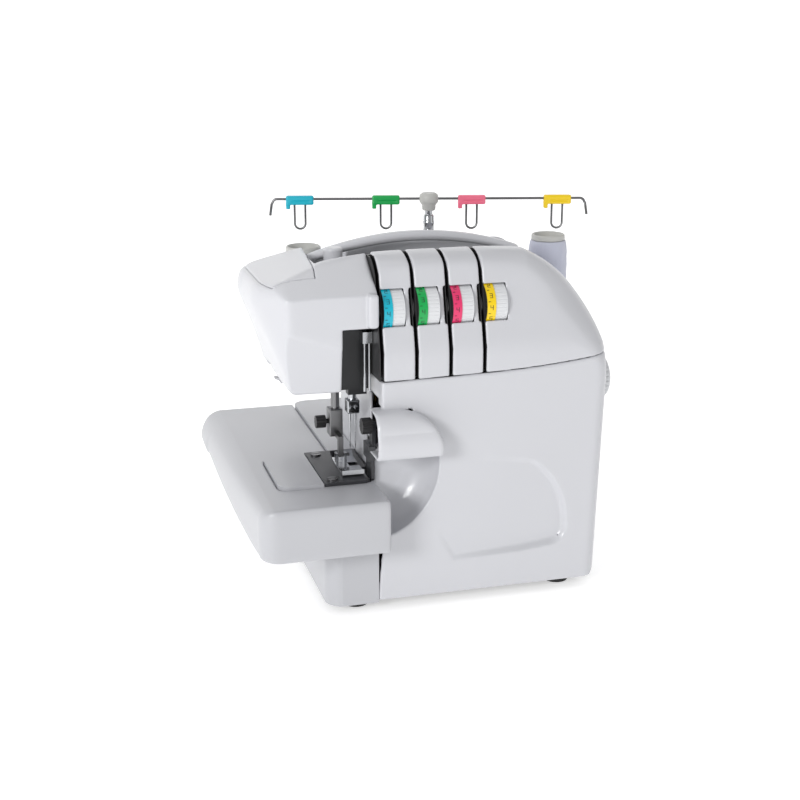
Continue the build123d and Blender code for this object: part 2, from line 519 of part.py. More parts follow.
# ---------------------------------------------------------------- mechanism
def chassis():
    base = block((-52.0, 118.0), (-84.0, 32.0), (FOOT_H + 4, FOOT_H + 9))
    for x in UPRIGHTS:
        wall = block((x, x + UPRIGHT_T), (-60.0, 30.0), (FOOT_H + 4, 200.0))
        wall -= rod((x - 1, SHAFT_Y, SHAFT_Z), "X", SHAFT_R + 4, UPRIGHT_T + 2)
        wall -= rod((x - 1, SHAFT_Y, MOTOR_Z), "X", 9.0, UPRIGHT_T + 2)
        base += wall
        bush = tube((x - 2, SHAFT_Y, SHAFT_Z), "X", SHAFT_R + 4, SHAFT_R + RUN, UPRIGHT_T + 4)
        add("shaft_bushes", bush)
    left = UPRIGHTS[0]
    base += block((left, left + UPRIGHT_T), (-60.0, 0.0), (195.0, 250.0))
    base += block((-118.0, left + 2), (-24.0, -10.0), (206.0, 245.0))
    base += block((-116.0, -108.0), (-26.0, -21.5), (190.0, 208.0))
    base += rod((LIFTER_X, -22.0, LIFTER_Z), "Y", STUD_R, 12.0)
    for z in (186.0, 232.0):
        base += block((-90.0, -63.2), (-66.0, -12.0), (z, z + 12))
    base += block((-90.0, -63.2), (-22.0, -12.0), (186.0, 240.0))
    base -= rod((NEEDLE_X, NEEDLE_Y, 150.0), "Z", NEEDLE_BAR_R + RUN, 120.0)
    base -= rod((PRESSER_X, PRESSER_Y, 150.0), "Z", PRESSER_R + RUN, 120.0)
    strip_y = (-61.0, -58.0)
    base += block((-53.0, 58.0), strip_y, (228.0, 245.0))
    for i in DIALS:
        x = slot_left(i) + 22.4
        fin = block((x, x + 2.2), (DIAL_Y - 5, strip_y[1]), (DIAL_Z - 6, DIAL_Z + 1.5))
        fin += block((x, x + 2.2), (DIAL_Y - 5, DIAL_Y + 5), (DIAL_Z - 6, DIAL_Z + 6))
        base += fin - rod((x - 1, DIAL_Y, DIAL_Z), "X", STUD_R + RUN, 5.0)
    add("chassis_frame", base)


def drive():
    shaft = rod((UPRIGHTS[0] - 10, SHAFT_Y, SHAFT_Z), "X", SHAFT_R, WHEEL_X + 20 - UPRIGHTS[0] + 10)
    shaft += rod((UPRIGHTS[0] - 10, SHAFT_Y, SHAFT_Z), "X", 14.0, 6.0)
    add("main_shaft", shaft, pulley(SHAFT_PULLEY_R, SHAFT_Z, SHAFT_R))
    wheel = rod((WHEEL_X, SHAFT_Y, SHAFT_Z), "X", WHEEL_R, WHEEL_W)
    wheel = fillet(wheel.edges().sort_by(Axis.X)[-1], 4.0)
    wheel = fillet(wheel.edges().sort_by(Axis.X)[0], 1.5)
    flutes = 28
    for k in range(flutes):
        angle = 2 * pi * k / flutes
        y, z = SHAFT_Y + cos(angle) * (WHEEL_R + 0.6), SHAFT_Z + sin(angle) * (WHEEL_R + 0.6)
        wheel -= rod((WHEEL_X + 12, y, z), "X", 1.4, WHEEL_W)
    wheel -= rod((WHEEL_X - 1, SHAFT_Y, SHAFT_Z), "X", SHAFT_R + RUN, 21.0 + RUN)
    add("handwheel", wheel)
    add("motor_pulley", pulley(MOTOR_PULLEY_R, MOTOR_Z, 3.0)
        + rod((PULLEY_X - 26, SHAFT_Y, MOTOR_Z), "X", 3.0, PULLEY_W + 28))
    start = UPRIGHTS[1] - MOTOR_L
    can = rod((start, SHAFT_Y, MOTOR_Z), "X", MOTOR_R, MOTOR_L)
    can += rod((start - 6, SHAFT_Y, MOTOR_Z), "X", MOTOR_R * 0.6, 8.0)
    can += block((start + 10, start + 50), (SHAFT_Y - 20, SHAFT_Y + 20), (FOOT_H + 9, MOTOR_Z - 10))
    add("motor", can - rod((PULLEY_X - 27, SHAFT_Y, MOTOR_Z), "X", 3.0 + RUN, 20.0))
    add("drive_belt", belt())


def pulley(radius, z, bore):
    rim = rod((PULLEY_X, SHAFT_Y, z), "X", radius, PULLEY_W)
    rim += rod((PULLEY_X, SHAFT_Y, z), "X", radius + 2.4, 1.2)
    rim += rod((PULLEY_X + PULLEY_W - 1.2, SHAFT_Y, z), "X", radius + 2.4, 1.2)
    return rim - rod((PULLEY_X - 1, SHAFT_Y, z), "X", bore, PULLEY_W + 2)


def belt():
    """A flat loop round both pulleys, drawn as the hull of two circles less its inside."""
    def loop(extra):
        big, small = SHAFT_PULLEY_R + extra, MOTOR_PULLEY_R + extra
        span = SHAFT_Z - MOTOR_Z
        lean = (big - small) / span
        side = (1 - lean ** 2) ** 0.5
        face = outline(
            [(SHAFT_Y + big * side, SHAFT_Z - big * lean),
             (SHAFT_Y - big * side, SHAFT_Z - big * lean),
             (SHAFT_Y - small * side, MOTOR_Z - small * lean),
             (SHAFT_Y + small * side, MOTOR_Z - small * lean)],
            [(0, (SHAFT_Y, SHAFT_Z + big)), (2, (SHAFT_Y, MOTOR_Z - small))])
        return side_view(face, (PULLEY_X + 1.8, PULLEY_X + PULLEY_W - 1.8))
    return loop(0.35 + BELT_T) - loop(0.35)


def needle_bar():
    bar = rod((NEEDLE_X, NEEDLE_Y, CLAMP_Z), "Z", NEEDLE_BAR_R, 90.0)
    bar += soft_block((NEEDLE_X - 5, NEEDLE_X + 5), (NEEDLE_Y - 5.5, NEEDLE_Y + 5),
                      (CLAMP_Z - 5, CLAMP_Z + 6), 1.0)
    for side in (-1, 1):
        bar += rod((NEEDLE_X + side * NEEDLE_GAP, NEEDLE_Y - 8.5, CLAMP_Z), "Y", 1.6, 4.0)
        bar -= rod((NEEDLE_X + side * NEEDLE_GAP, NEEDLE_Y - 1, CLAMP_Z - 6), "Z", 1.0, 9.0)
    add("needle_bar", bar)
    for side in (-1, 1):
        x = NEEDLE_X + side * NEEDLE_GAP
        needle = rod((x, NEEDLE_Y - 1, CLAMP_Z - 12), "Z", 0.99, 14.9)
        needle += rod((x, NEEDLE_Y - 1, NEEDLE_TIP_Z + 4), "Z", 0.55, CLAMP_Z - 16 - NEEDLE_TIP_Z)
        needle += Pos(x, NEEDLE_Y - 1, NEEDLE_TIP_Z + 2) * Cone(0.08, 0.55, 4.0)
        add("needles", needle)


def presser():
    bar = rod((PRESSER_X, PRESSER_Y, 133.0), "Z", PRESSER_R, 119.0)
    bar += soft_block((PRESSER_X - 6, PRESSER_X + 5), (PRESSER_Y - 6, PRESSER_Y + 6),
                      (127.0, 150.0), 1.0)
    bar += block((PRESSER_X - 2.0, PRESSER_X + 2.0), (-56.0, PRESSER_Y), (127.5, 131.0))
    bar += block((PRESSER_X - 2.0, PRESSER_X + 2.0), (-56.0, -51.0), (114.0, 131.0))
    bar += rod((PRESSER_X - 3.0, -53.5, 115.0), "X", 1.4, 10.0)
    add("presser_bar", bar)
    knob = rod((PRESSER_X - 16.5, PRESSER_Y, 139.0), "X", 5.2, 8.0)
    for k in range(12):
        y, z = PRESSER_Y + 5.4 * cos(pi * k / 6), 139.0 + 5.4 * sin(pi * k / 6)
        knob -= rod((PRESSER_X - 17, y, z), "X", 0.8, 8.0)
    knob += rod((PRESSER_X - 8.5, PRESSER_Y, 139.0), "X", 2.0, 2.5)
    add("presser_clamp_screw", knob)

    profile = outline(
        [(-81.0, SOLE_Z + 0.6), (-77.0, SOLE_Z), (-53.0, SOLE_Z), (-42.0, SOLE_Z + 1.3),
         (-35.0, 111.6), (-36.0, 113.1), (-43.0, SOLE_Z + 3.4), (-53.0, SOLE_Z + 2.2),
         (-77.0, SOLE_Z + 2.2), (-80.5, 110.5)])
    sole = side_view(profile, (PRESSER_X - 5.0, PRESSER_X + 13.0))
    sole -= block((NEEDLE_X - 4, NEEDLE_X + 4), (NEEDLE_Y - 6, NEEDLE_Y + 3), (100, 120))
    for side in (-4.4, 2.4):
        cheek = block((PRESSER_X + side, PRESSER_X + side + 2), (-56.5, -50.5),
                      (SOLE_Z + 1.5, 117.0))
        sole += cheek
    sole -= rod((PRESSER_X - 6, -53.5, 115.0), "X", 1.4 + RUN, 12.0)
    sole -= block((PRESSER_X - 2.3, PRESSER_X + 2.3), (-57.5, -49.5), (SOLE_Z + 3.2, 130))
    add("presser_foot", sole)

    lever = rod((LIFTER_X, -20.0, LIFTER_Z), "Y", 5.0, 8.0)
    lever += block((LIFTER_X - 2.5, LIFTER_X + 2.5), (-20.0, -14.0), (172.0, LIFTER_Z))
    lever += block((LIFTER_X - 13, LIFTER_X + 2.5), (-20.0, -14.0), (169.0, 174.0))
    lever += Pos(LIFTER_X - 13, -17.0, 168.0) * Sphere(5.6)
    add("foot_lifter", lever - rod((LIFTER_X, -30.0, LIFTER_Z), "Y", STUD_R + RUN, 30.0))

    cap = rod((PRESSER_X, PRESSER_Y, 254.0), "Z", 7.6, 28.0)
    cap = fillet(cap.edges().sort_by(Axis.Z)[-1], 2.0)
    add("pressure_knob", cap - rod((PRESSER_X, PRESSER_Y, 250.0), "Z", PRESSER_R + 0.4, 16.0))

    for x in (-66.0, -62.2):
        post = rod((x, -84.0, 176.0), "Z", 1.1, 46.0)
        add("thread_posts", post)
    bridge = block((-68.0, HEAD_R), (-87.0, RECESS_BACK - 4), (215.0, 224.0))
    add("thread_posts", bridge - block((-66.4, -61.6), (-85.4, -79.0), (200.0, 230.0)))


def carry_handle():
    arch = outline(
        [(HANDLE_L, 263.6), (HANDLE_L, 270.5), (HANDLE_R, 270.5), (HANDLE_R, 263.6)],
        [(1, (-5.0, HANDLE_TOP + 2.0)), (3, (-5.0, HANDLE_TOP + 2.0 - HANDLE_T))])
    grip = front_view(arch, (HANDLE_Y - HANDLE_W / 2, HANDLE_Y + HANDLE_W / 2))
    grip = fillet(grip.edges().filter_by(GeomType.CIRCLE), 2.5)
    for x in (HANDLE_L, HANDLE_R - 6):
        grip += rod((x, HANDLE_Y, HANDLE_PIVOT_Z), "X", 5.0, 6.0)
    for x in (HANDLE_L - 1, HANDLE_R - 8):
        grip -= rod((x, HANDLE_Y, HANDLE_PIVOT_Z), "X", STUD_R + RUN, 9.0)
    add("carry_handle", grip)


# ---------------------------------------------------------------- thread stand
def thread_stand():
    left, right = spool_x(0) - 20, spool_x(3) + 17
    tray = block((left, right), (BACK + SEAM, 104.0), (TRAY_Z - TRAY_T, TRAY_Z))
    tray = fillet(tray.edges().filter_by(Axis.Z).sort_by(Axis.Y)[-2:], 16.0)
    tray += block((-40.0, 100.0), (BACK + SEAM, BACK + 8), (110.0, TRAY_Z - TRAY_T))
    tray += rod((STAND_X, SPOOL_Y, TRAY_Z), "Z", 9.0, 8.0)
    tray -= rod((STAND_X, SPOOL_Y, TRAY_Z - 10), "Z", POLE_R + RUN, 30.0)
    for i in range(4):
        tray -= rod((spool_x(i), SPOOL_Y, TRAY_Z - 10), "Z", PIN_R, 30.0)
        pin = rod((spool_x(i), SPOOL_Y, TRAY_Z - TRAY_T), "Z", PIN_R, 80.0)
        add("spool_stand", fillet(pin.edges().sort_by(Axis.Z)[-1], 1.5))
        seat = TRAY_Z + 0.2
        core = rod((spool_x(i), SPOOL_Y, seat), "Z", SPOOL_RIM_R + 1, 4.0)
        core += rod((spool_x(i), SPOOL_Y, seat), "Z", SPOOL_RIM_R - 3, SPOOL_TOP - seat)
        core += rod((spool_x(i), SPOOL_Y, SPOOL_TOP - 5), "Z", SPOOL_RIM_R, 5.0)
        core -= rod((spool_x(i), SPOOL_Y, seat + 3), "Z", SPOOL_RIM_R - 4.5, SPOOL_TOP - seat)
        core -= rod((spool_x(i), SPOOL_Y, seat - 1), "Z", PIN_R + 0.3, 6.0)
        thread = tube((spool_x(i), SPOOL_Y, seat + 4), "Z", THREAD_R, SPOOL_RIM_R - 3,
                      SPOOL_TOP - 5 - seat - 4)
        thread = fillet(thread.edges().filter_by(GeomType.CIRCLE).sort_by(SortBy.RADIUS)[-2:],
                        2.5)
        add(f"thread_spool_{i + 1}", core, thread)
    add("spool_stand", tray)
    pole = tube((STAND_X, SPOOL_Y, TRAY_Z - TRAY_T), "Z", POLE_R, POLE_BORE + RUN,
                POLE_TOP - TRAY_Z + TRAY_T)
    add("pole_outer", pole)
    inner = rod((STAND_X, SPOOL_Y, TRAY_Z - TRAY_T + 1), "Z", POLE_BORE,
                BAR_Z - 8 - TRAY_Z + TRAY_T - 1)
    add("pole_inner", inner)


def askew(solid):
    """Turn a piece of the guide bar about the pole."""
    return solid.rotate(Axis((STAND_X, SPOOL_Y, 0), (0, 0, 1)), BAR_TURN)


def guide_bar():
    """A bent wire through a cap on the pole, with four clips that each hold a loop."""
    cap = rod((STAND_X, SPOOL_Y, BAR_Z - 10), "Z", 6.0, 10.0)
    cap += rod((STAND_X, SPOOL_Y, BAR_Z - 3), "Z", CAP_R, 8.0)
    cap = fillet(cap.edges().sort_by(Axis.Z)[-1], 1.5)
    cap -= rod((STAND_X, SPOOL_Y, BAR_Z - 11), "Z", POLE_BORE + RUN, 3.2)
    cap -= rod((STAND_X - 20, SPOOL_Y, BAR_Z), "X", WIRE_R, 40.0)
    add("thread_clips", askew(cap))
    lean = 14.0
    path = FilletPolyline(
        [(STAND_X - BAR_HALF - 2, SPOOL_Y - 2, BAR_Z - lean), (STAND_X - BAR_HALF, SPOOL_Y, BAR_Z),
         (STAND_X + BAR_HALF, SPOOL_Y, BAR_Z),
         (STAND_X + BAR_HALF + 2, SPOOL_Y - 2, BAR_Z - lean)], radius=3.0)
    wire = sweep(Plane(origin=path @ 0, z_dir=path % 0) * Circle(WIRE_R), path)
    add("guide_wires", askew(wire))
    for i in range(4):
        x = spool_x(i)
        clip = soft_block((x - CLIP_L / 2, x + CLIP_L / 2), (SPOOL_Y - CLIP_W / 2,
                          SPOOL_Y + CLIP_W / 2), (BAR_Z - CLIP_H / 2 - 1, BAR_Z + CLIP_H / 2 - 1),
                          1.2)
        clip += block((x - CLIP_L / 2, x - CLIP_L / 2 + 3.5),
                      (SPOOL_Y - CLIP_W / 2, SPOOL_Y + CLIP_W / 2), (BAR_Z - 8.5, BAR_Z - 3))
        clip -= rod((x - 20, SPOOL_Y, BAR_Z), "X", WIRE_R, 40.0)
        half, top = LOOP_W / 2 - WIRE_R, BAR_Z - CLIP_H / 2
        line = Line((x - half, SPOOL_Y, top), (x - half, SPOOL_Y, top - LOOP_H + half))
        bend = ThreePointArc(line @ 1, (x, SPOOL_Y, top - LOOP_H), (x + half, SPOOL_Y,
                                                                     top - LOOP_H + half))
        back = Line(bend @ 1, (x + half, SPOOL_Y, top))
        route = Wire([line, bend, back])
        loop = sweep(Plane(origin=route @ 0, z_dir=route % 0) * Circle(WIRE_R), route)
        add("guide_wires", askew(loop))
        add("thread_clips", askew(clip - loop))


# ---------------------------------------------------------------- controls and fasteners
def controls():
    x = COLUMN_R - WALL
    socket = block((x - 14, COLUMN_R + 0.4), (-19.5, 23.5), (30.5, 61.5))
    socket -= block((x - 8, COLUMN_R + 1), (-16.0, 0.0), (34.0, 58.0))
    socket -= block((x - 8, COLUMN_R + 1), (4.0, 20.0), (34.0, 58.0))
    for k in (-1, 1):
        socket += rod((x - 9, -8.0 + 4.0 * k, 46.0), "X", 1.5, 8.0)
    socket -= rod((ROCKER_X, 2.8, 46.0), "Y", STUD_R + RUN, 18.4)
    add("power_inlet", socket)
    rocker = block((x - 4.5, COLUMN_R + 2.2), (4.6, 19.4), (34.8, 57.2))
    rocker = fillet(rocker.edges().filter_by(Axis.Y).sort_by(Axis.X)[-2:], 2.0)
    add("power_switch", rocker + rod((ROCKER_X, 3.0, 46.0), "Y", STUD_R, 18.0))

    knob = rod((COLUMN_R + 0.3, DIAL_SIDE_Y, DIAL_SIDE_Z), "X", 8.0, 6.0)
    knob = fillet(knob.edges().sort_by(Axis.X)[-1], 1.5)
    knob += rod((COLUMN_R - 8, DIAL_SIDE_Y, DIAL_SIDE_Z), "X", 3.6, 10.0)
    add("stitch_dial", knob)

    for bx in (-20.0, 100.0):
        for z in (70.0, 210.0):
            screw = rod((bx, BACK - WALL - 5, z), "Y", 1.5, 7.6)
            screw += rod((bx, BACK, z), "Y", 3.4, 1.8)
            add("casing_screws", screw)
            NEW["rear_casing"][0] -= rod((bx, BACK - 5, z), "Y", 1.5, 8.0)


# ---------------------------------------------------------------- build and write
def main():
    base_and_feet()
    bed()
    needle_plate()
    feed_and_loopers()
    extension_table()
    looper_cover()
    tension_panels()
    thread_slots()
    head()
    rear_casing()
    chassis()
    drive()
    needle_bar()
    presser()
    carry_handle()
    thread_stand()
    guide_bar()
    controls()
    os.makedirs("parts", exist_ok=True)
    for name, solids in NEW.items():
        flat = [solid for item in solids for solid in item.solids()]
        export_step(Compound(label=name, children=flat) if len(flat) > 1 else flat[0],
                    f"parts/{name}.step")
        print(name, len(flat), [round(v, 1) for v in Compound(children=flat).bounding_box().size])


main()
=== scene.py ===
import math
import bpy
import numpy as np
from mathutils import Euler, Matrix, Vector


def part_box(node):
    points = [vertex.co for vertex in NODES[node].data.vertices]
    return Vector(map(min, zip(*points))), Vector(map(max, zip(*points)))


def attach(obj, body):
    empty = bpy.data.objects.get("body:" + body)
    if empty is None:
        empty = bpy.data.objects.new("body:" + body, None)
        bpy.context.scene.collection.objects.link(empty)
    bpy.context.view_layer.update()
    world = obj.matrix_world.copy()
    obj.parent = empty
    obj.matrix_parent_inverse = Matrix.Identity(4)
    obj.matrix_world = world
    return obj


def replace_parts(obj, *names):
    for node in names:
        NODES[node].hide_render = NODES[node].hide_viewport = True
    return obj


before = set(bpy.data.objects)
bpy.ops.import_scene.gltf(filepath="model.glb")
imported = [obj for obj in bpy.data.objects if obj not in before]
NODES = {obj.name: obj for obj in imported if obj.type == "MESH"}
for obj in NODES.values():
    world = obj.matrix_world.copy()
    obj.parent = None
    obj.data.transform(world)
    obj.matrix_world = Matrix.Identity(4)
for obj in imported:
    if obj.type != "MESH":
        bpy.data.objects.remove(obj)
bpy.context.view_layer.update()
MM = 0.001


def node_mm(name):
    """A CAD node's box as two numpy arrays in millimetres."""
    low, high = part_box(name)
    return np.array(low) / MM, np.array(high) / MM


# ------------------------------------------------------------------ sizes, in millimetres
WALL = 2.6
FRONT, BACK = -108.5, 40.0
COLUMN_L = -57.0
COLUMN_R = node_mm("rear_casing")[1][0]
CREASE_Z, BROW_Y, BROW_Z = 211.0, -93.0, 270.0
LEAN = (BROW_Y - FRONT) / (BROW_Z - CREASE_Z)     # how the dial panels lean back
PANEL_BACK, CROWN_Z, RIDGE_TOP = -66.0, 283.5, 276.0
DOME_LOW, DOME_HIGH = 186.0, 250.0                # between these the front goes over to a dome
EDGE, DOME_X, DOME_Y = 12.0, 58.0, 24.0           # rounding of the corner, and what the dome adds
SEAM_Z = 189.0
WELL_FLOOR, WELL_BACK, WELL_R = 258.0, 12.0, 90.0
DOOR_BACK = -96.0
DOOR_L, DOOR_SPREAD = -58.2, 3.6     # left edge of the looper cover, and how it widens below
CASE_LOW, CASE_RISE = 8.2, 3.4       # bottom edge in front, and how much higher it is behind
SCOOP_X, SCOOP_Z, SCOOP_TOP = -72.0, 120.0, 129.0
SCOOP_R, SCOOP_DEPTH = 60.0, 26.0
SLEEVE_LOW, SLEEVE_TOP = 130.0, 169.0
TRAY_RIGHT, TRAY_BACK = 118.5, 34.9
WHEEL_Y, WHEEL_Z, WHEEL_BORE = -12.5, 153.0, 7.5
SPINDLE_Y, SPINDLE_Z, SPINDLE_BORE = -60.0, 118.0, 4.0
VENTS, VENT_LOW, VENT_PITCH, VENT_H = 9, 84.0, 7.0, 2.6
HEAD_L = node_mm("head_cover")[0][0]
HEAD_R = -59.7
HEAD_FRONT, HEAD_BACK = -107.5, 22.0
CHIN_Z, RECESS_Z, RECESS_L, RECESS_BACK = 181.0, 231.0, -88.0, -72.0
LINK_Y, LINK_Z = (-64.0, -6.0), (186.0, 250.0)   # opening between the head and the body
NEEDLE_BAR, PRESSER_BAR = (-70.0, -58.0), (-79.0, -36.0)     # x and y of their axes
LID_RIGHT, LID_FRONT, LID_LOW = -98.0, -87.5, 262.0
TABLE_LOW, TABLE_HIGH = node_mm("extension_table")
BED_TOP = TABLE_HIGH[2]
ARM_L, ARM_FRONT, ARM_BACK = -137.5, -93.6, -17.0
TABLE_SEAM = -80.7
PLATE_LOW, PLATE_HIGH = node_mm("needle_plate")
SLOT_W, SLOT_PITCH, SLOT_X = 4.1, 27.5, -60.0
LIP = 0.75                       # how far a panel's rounded edge leans over the slot
BAR_HALF = 136.0                 # half the length of the guide bar
BAR_TURN = math.radians(-14.0)   # the guide bar stands a little askew
WIRE_R, WIRE_BEND = 1.1, 4.0
CLIP_HALF, LOOP_HALF, LOOP_DROP = 12, 5.75, 22.0
DIALS = range(4)


# ------------------------------------------------------------------ distance fields
def clean(points, bulges=(), steps=10):
    """Corner points of a flat outline; a bulge gives the middle point of an arc."""
    middles = dict(bulges)
    out = []
    for i, a in enumerate(points):
        b = points[(i + 1) % len(points)]
        out.append(a)
        if i in middles:
            (ax, ay), (mx, my), (bx, by) = a, middles[i], b
            d = 2 * (ax * (my - by) + mx * (by - ay) + bx * (ay - my))
            sa, sm, sb = ax * ax + ay * ay, mx * mx + my * my, bx * bx + by * by
            cx = (sa * (my - by) + sm * (by - ay) + sb * (ay - my)) / d
            cy = (sa * (bx - mx) + sm * (ax - bx) + sb * (mx - ax)) / d
            r = math.hypot(ax - cx, ay - cy)
            t0, tm, t1 = (math.atan2(p[1] - cy, p[0] - cx) for p in (a, middles[i], b))
            turn = (t1 - t0) % (2 * math.pi)
            if (tm - t0) % (2 * math.pi) > turn:
                turn -= 2 * math.pi
            for k in range(1, steps):
                t = t0 + turn * k / steps
                out.append((cx + r * math.cos(t), cy + r * math.sin(t)))
    return out


def polygon(points, u, v):
    """Signed distance to a closed outline, negative inside, on a grid of u and v."""
    u, v = np.broadcast_arrays(u, v)
    best = np.full(u.shape, 1e9, np.float32)
    inside = np.zeros(u.shape, bool)
    count = len(points)
    for i in range(count):
        (ax, ay), (bx, by) = points[i], points[(i + 1) % count]
        ex, ey = bx - ax, by - ay
        t = np.clip(((u - ax) * ex + (v - ay) * ey) / (ex * ex + ey * ey + 1e-12), 0, 1)
        best = np.minimum(best, (u - ax - t * ex) ** 2 + (v - ay - t * ey) ** 2)
        if ay != by:
            cross = ((ay > v) != (by > v)) & (u < (bx - ax) * (v - ay) / (by - ay) + ax)
            inside ^= cross
    return np.where(inside, -1, 1) * np.sqrt(best)


def both(a, b, k=0.0):
    """Where two fields overlap, with the corner rounded by about k."""
    if k <= 0:
        return np.maximum(a, b)
    h = np.maximum(k - np.abs(a - b), 0) / k
    return np.maximum(a, b) + h * h * k * 0.25


def either(a, b, k=0.0):
    """Two fields joined, with the inner corner filled by about k."""
    return -both(-a, -b, k)


def less(a, b, k=0.0):
    """The first field with the second cut away."""
    return both(a, -b, k)


def slab(x, low, high):
    """The space between two planes."""
    return np.maximum(low - x, x - high)


def brick(x, y, z, xs, ys, zs, k=0.0):
    """A box from three (low, high) pairs with corners rounded by about k."""
    return both(both(slab(x, *xs), slab(y, *ys), k), slab(z, *zs), k)


def ramp(t, low, high):
    """Goes smoothly from 0 at low to 1 at high."""
    t = np.clip((t - low) / (high - low), 0, 1)
    return t * t * (3 - 2 * t)


def skin(name, field, xs, ys, zs, step, body, material, replaces=()):
    """Builds the surface where a field is zero as a smooth mesh piece."""
    axes = [np.arange(lo - 2 * step, hi + 3 * step, step, dtype=np.float32)
            for lo, hi in (xs, ys, zs)]
    x, y, z = np.meshgrid(*axes, indexing="ij", sparse=True)
    d = np.ascontiguousarray(np.broadcast_to(field(x, y, z), [len(a) for a in axes]),
                             dtype=np.float32)
    d = np.where(d == 0, 1e-6, d)
    inside = d < 0
    corners = [(i, j, k) for i in (0, 1) for j in (0, 1) for k in (0, 1)]
    size = [n - 1 for n in d.shape]

    def shifted(a, c):
        return a[c[0]:c[0] + size[0], c[1]:c[1] + size[1], c[2]:c[2] + size[2]]

    total = sum(shifted(inside, c).astype(np.int8) for c in corners)
    cell = np.argwhere((total > 0) & (total < 8))
    index = np.full(size, -1, np.int32)
    index[tuple(cell.T)] = np.arange(len(cell))
    value = np.stack([d[tuple((cell + c).T)] for c in corners], 1)
    place = np.zeros((len(cell), 3))
    hits = np.zeros(len(cell))
    for a in range(8):
        for b in range(a + 1, 8):
            ca, cb = np.array(corners[a]), np.array(corners[b])
            if np.abs(ca - cb).sum() != 1:
                continue
            va, vb = value[:, a], value[:, b]
            cross = (va < 0) != (vb < 0)
            t = np.where(cross, va / np.where(cross, va - vb, 1), 0)
            place += np.where(cross[:, None], ca + t[:, None] * (cb - ca), 0)
            hits += cross
    start = np.array([a[0] for a in axes])
    points = start + (cell + place / hits[:, None]) * step
    faces = []
    for axis in range(3):
        u, v = (axis + 1) % 3, (axis + 2) % 3
        ahead = [slice(None)] * 3
        ahead[axis] = slice(1, None)
        behind = [slice(None)] * 3
        behind[axis] = slice(None, -1)
        a, b = inside[tuple(behind)], inside[tuple(ahead)]
        edge = np.argwhere(a != b)
        edge = edge[(edge[:, u] > 0) & (edge[:, v] > 0) & (edge[:, u] < size[u])
                    & (edge[:, v] < size[v])]
        ring = []
        for du, dv in ((0, 0), (-1, 0), (-1, -1), (0, -1)):
            at = edge.copy()
            at[:, u] += du
            at[:, v] += dv
            ring.append(index[tuple(at.T)])
        quad = np.stack(ring, 1)
        flip = ~a[tuple(edge.T)]
        quad[flip] = quad[flip][:, ::-1]
        faces.append(quad)
    quads = np.concatenate(faces)
    mesh = bpy.data.meshes.new(name)
    mesh.vertices.add(len(points))
    mesh.vertices.foreach_set("co", (points * MM).astype(np.float32).ravel())
    mesh.loops.add(quads.size)
    mesh.loops.foreach_set("vertex_index", quads.ravel().astype(np.int32))
    mesh.polygons.add(len(quads))
    mesh.polygons.foreach_set("loop_start", np.arange(0, quads.size, 4, dtype=np.int32))
    mesh.polygons.foreach_set("use_smooth", np.ones(len(quads), bool))
    mesh.update(calc_edges=True)
    mesh.validate()
    piece = bpy.data.objects.new(name, mesh)
    bpy.context.scene.collection.objects.link(piece)
    piece.data.materials.append(material)
    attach(piece, body)
    if replaces:
        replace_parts(piece, *replaces)
    return piece


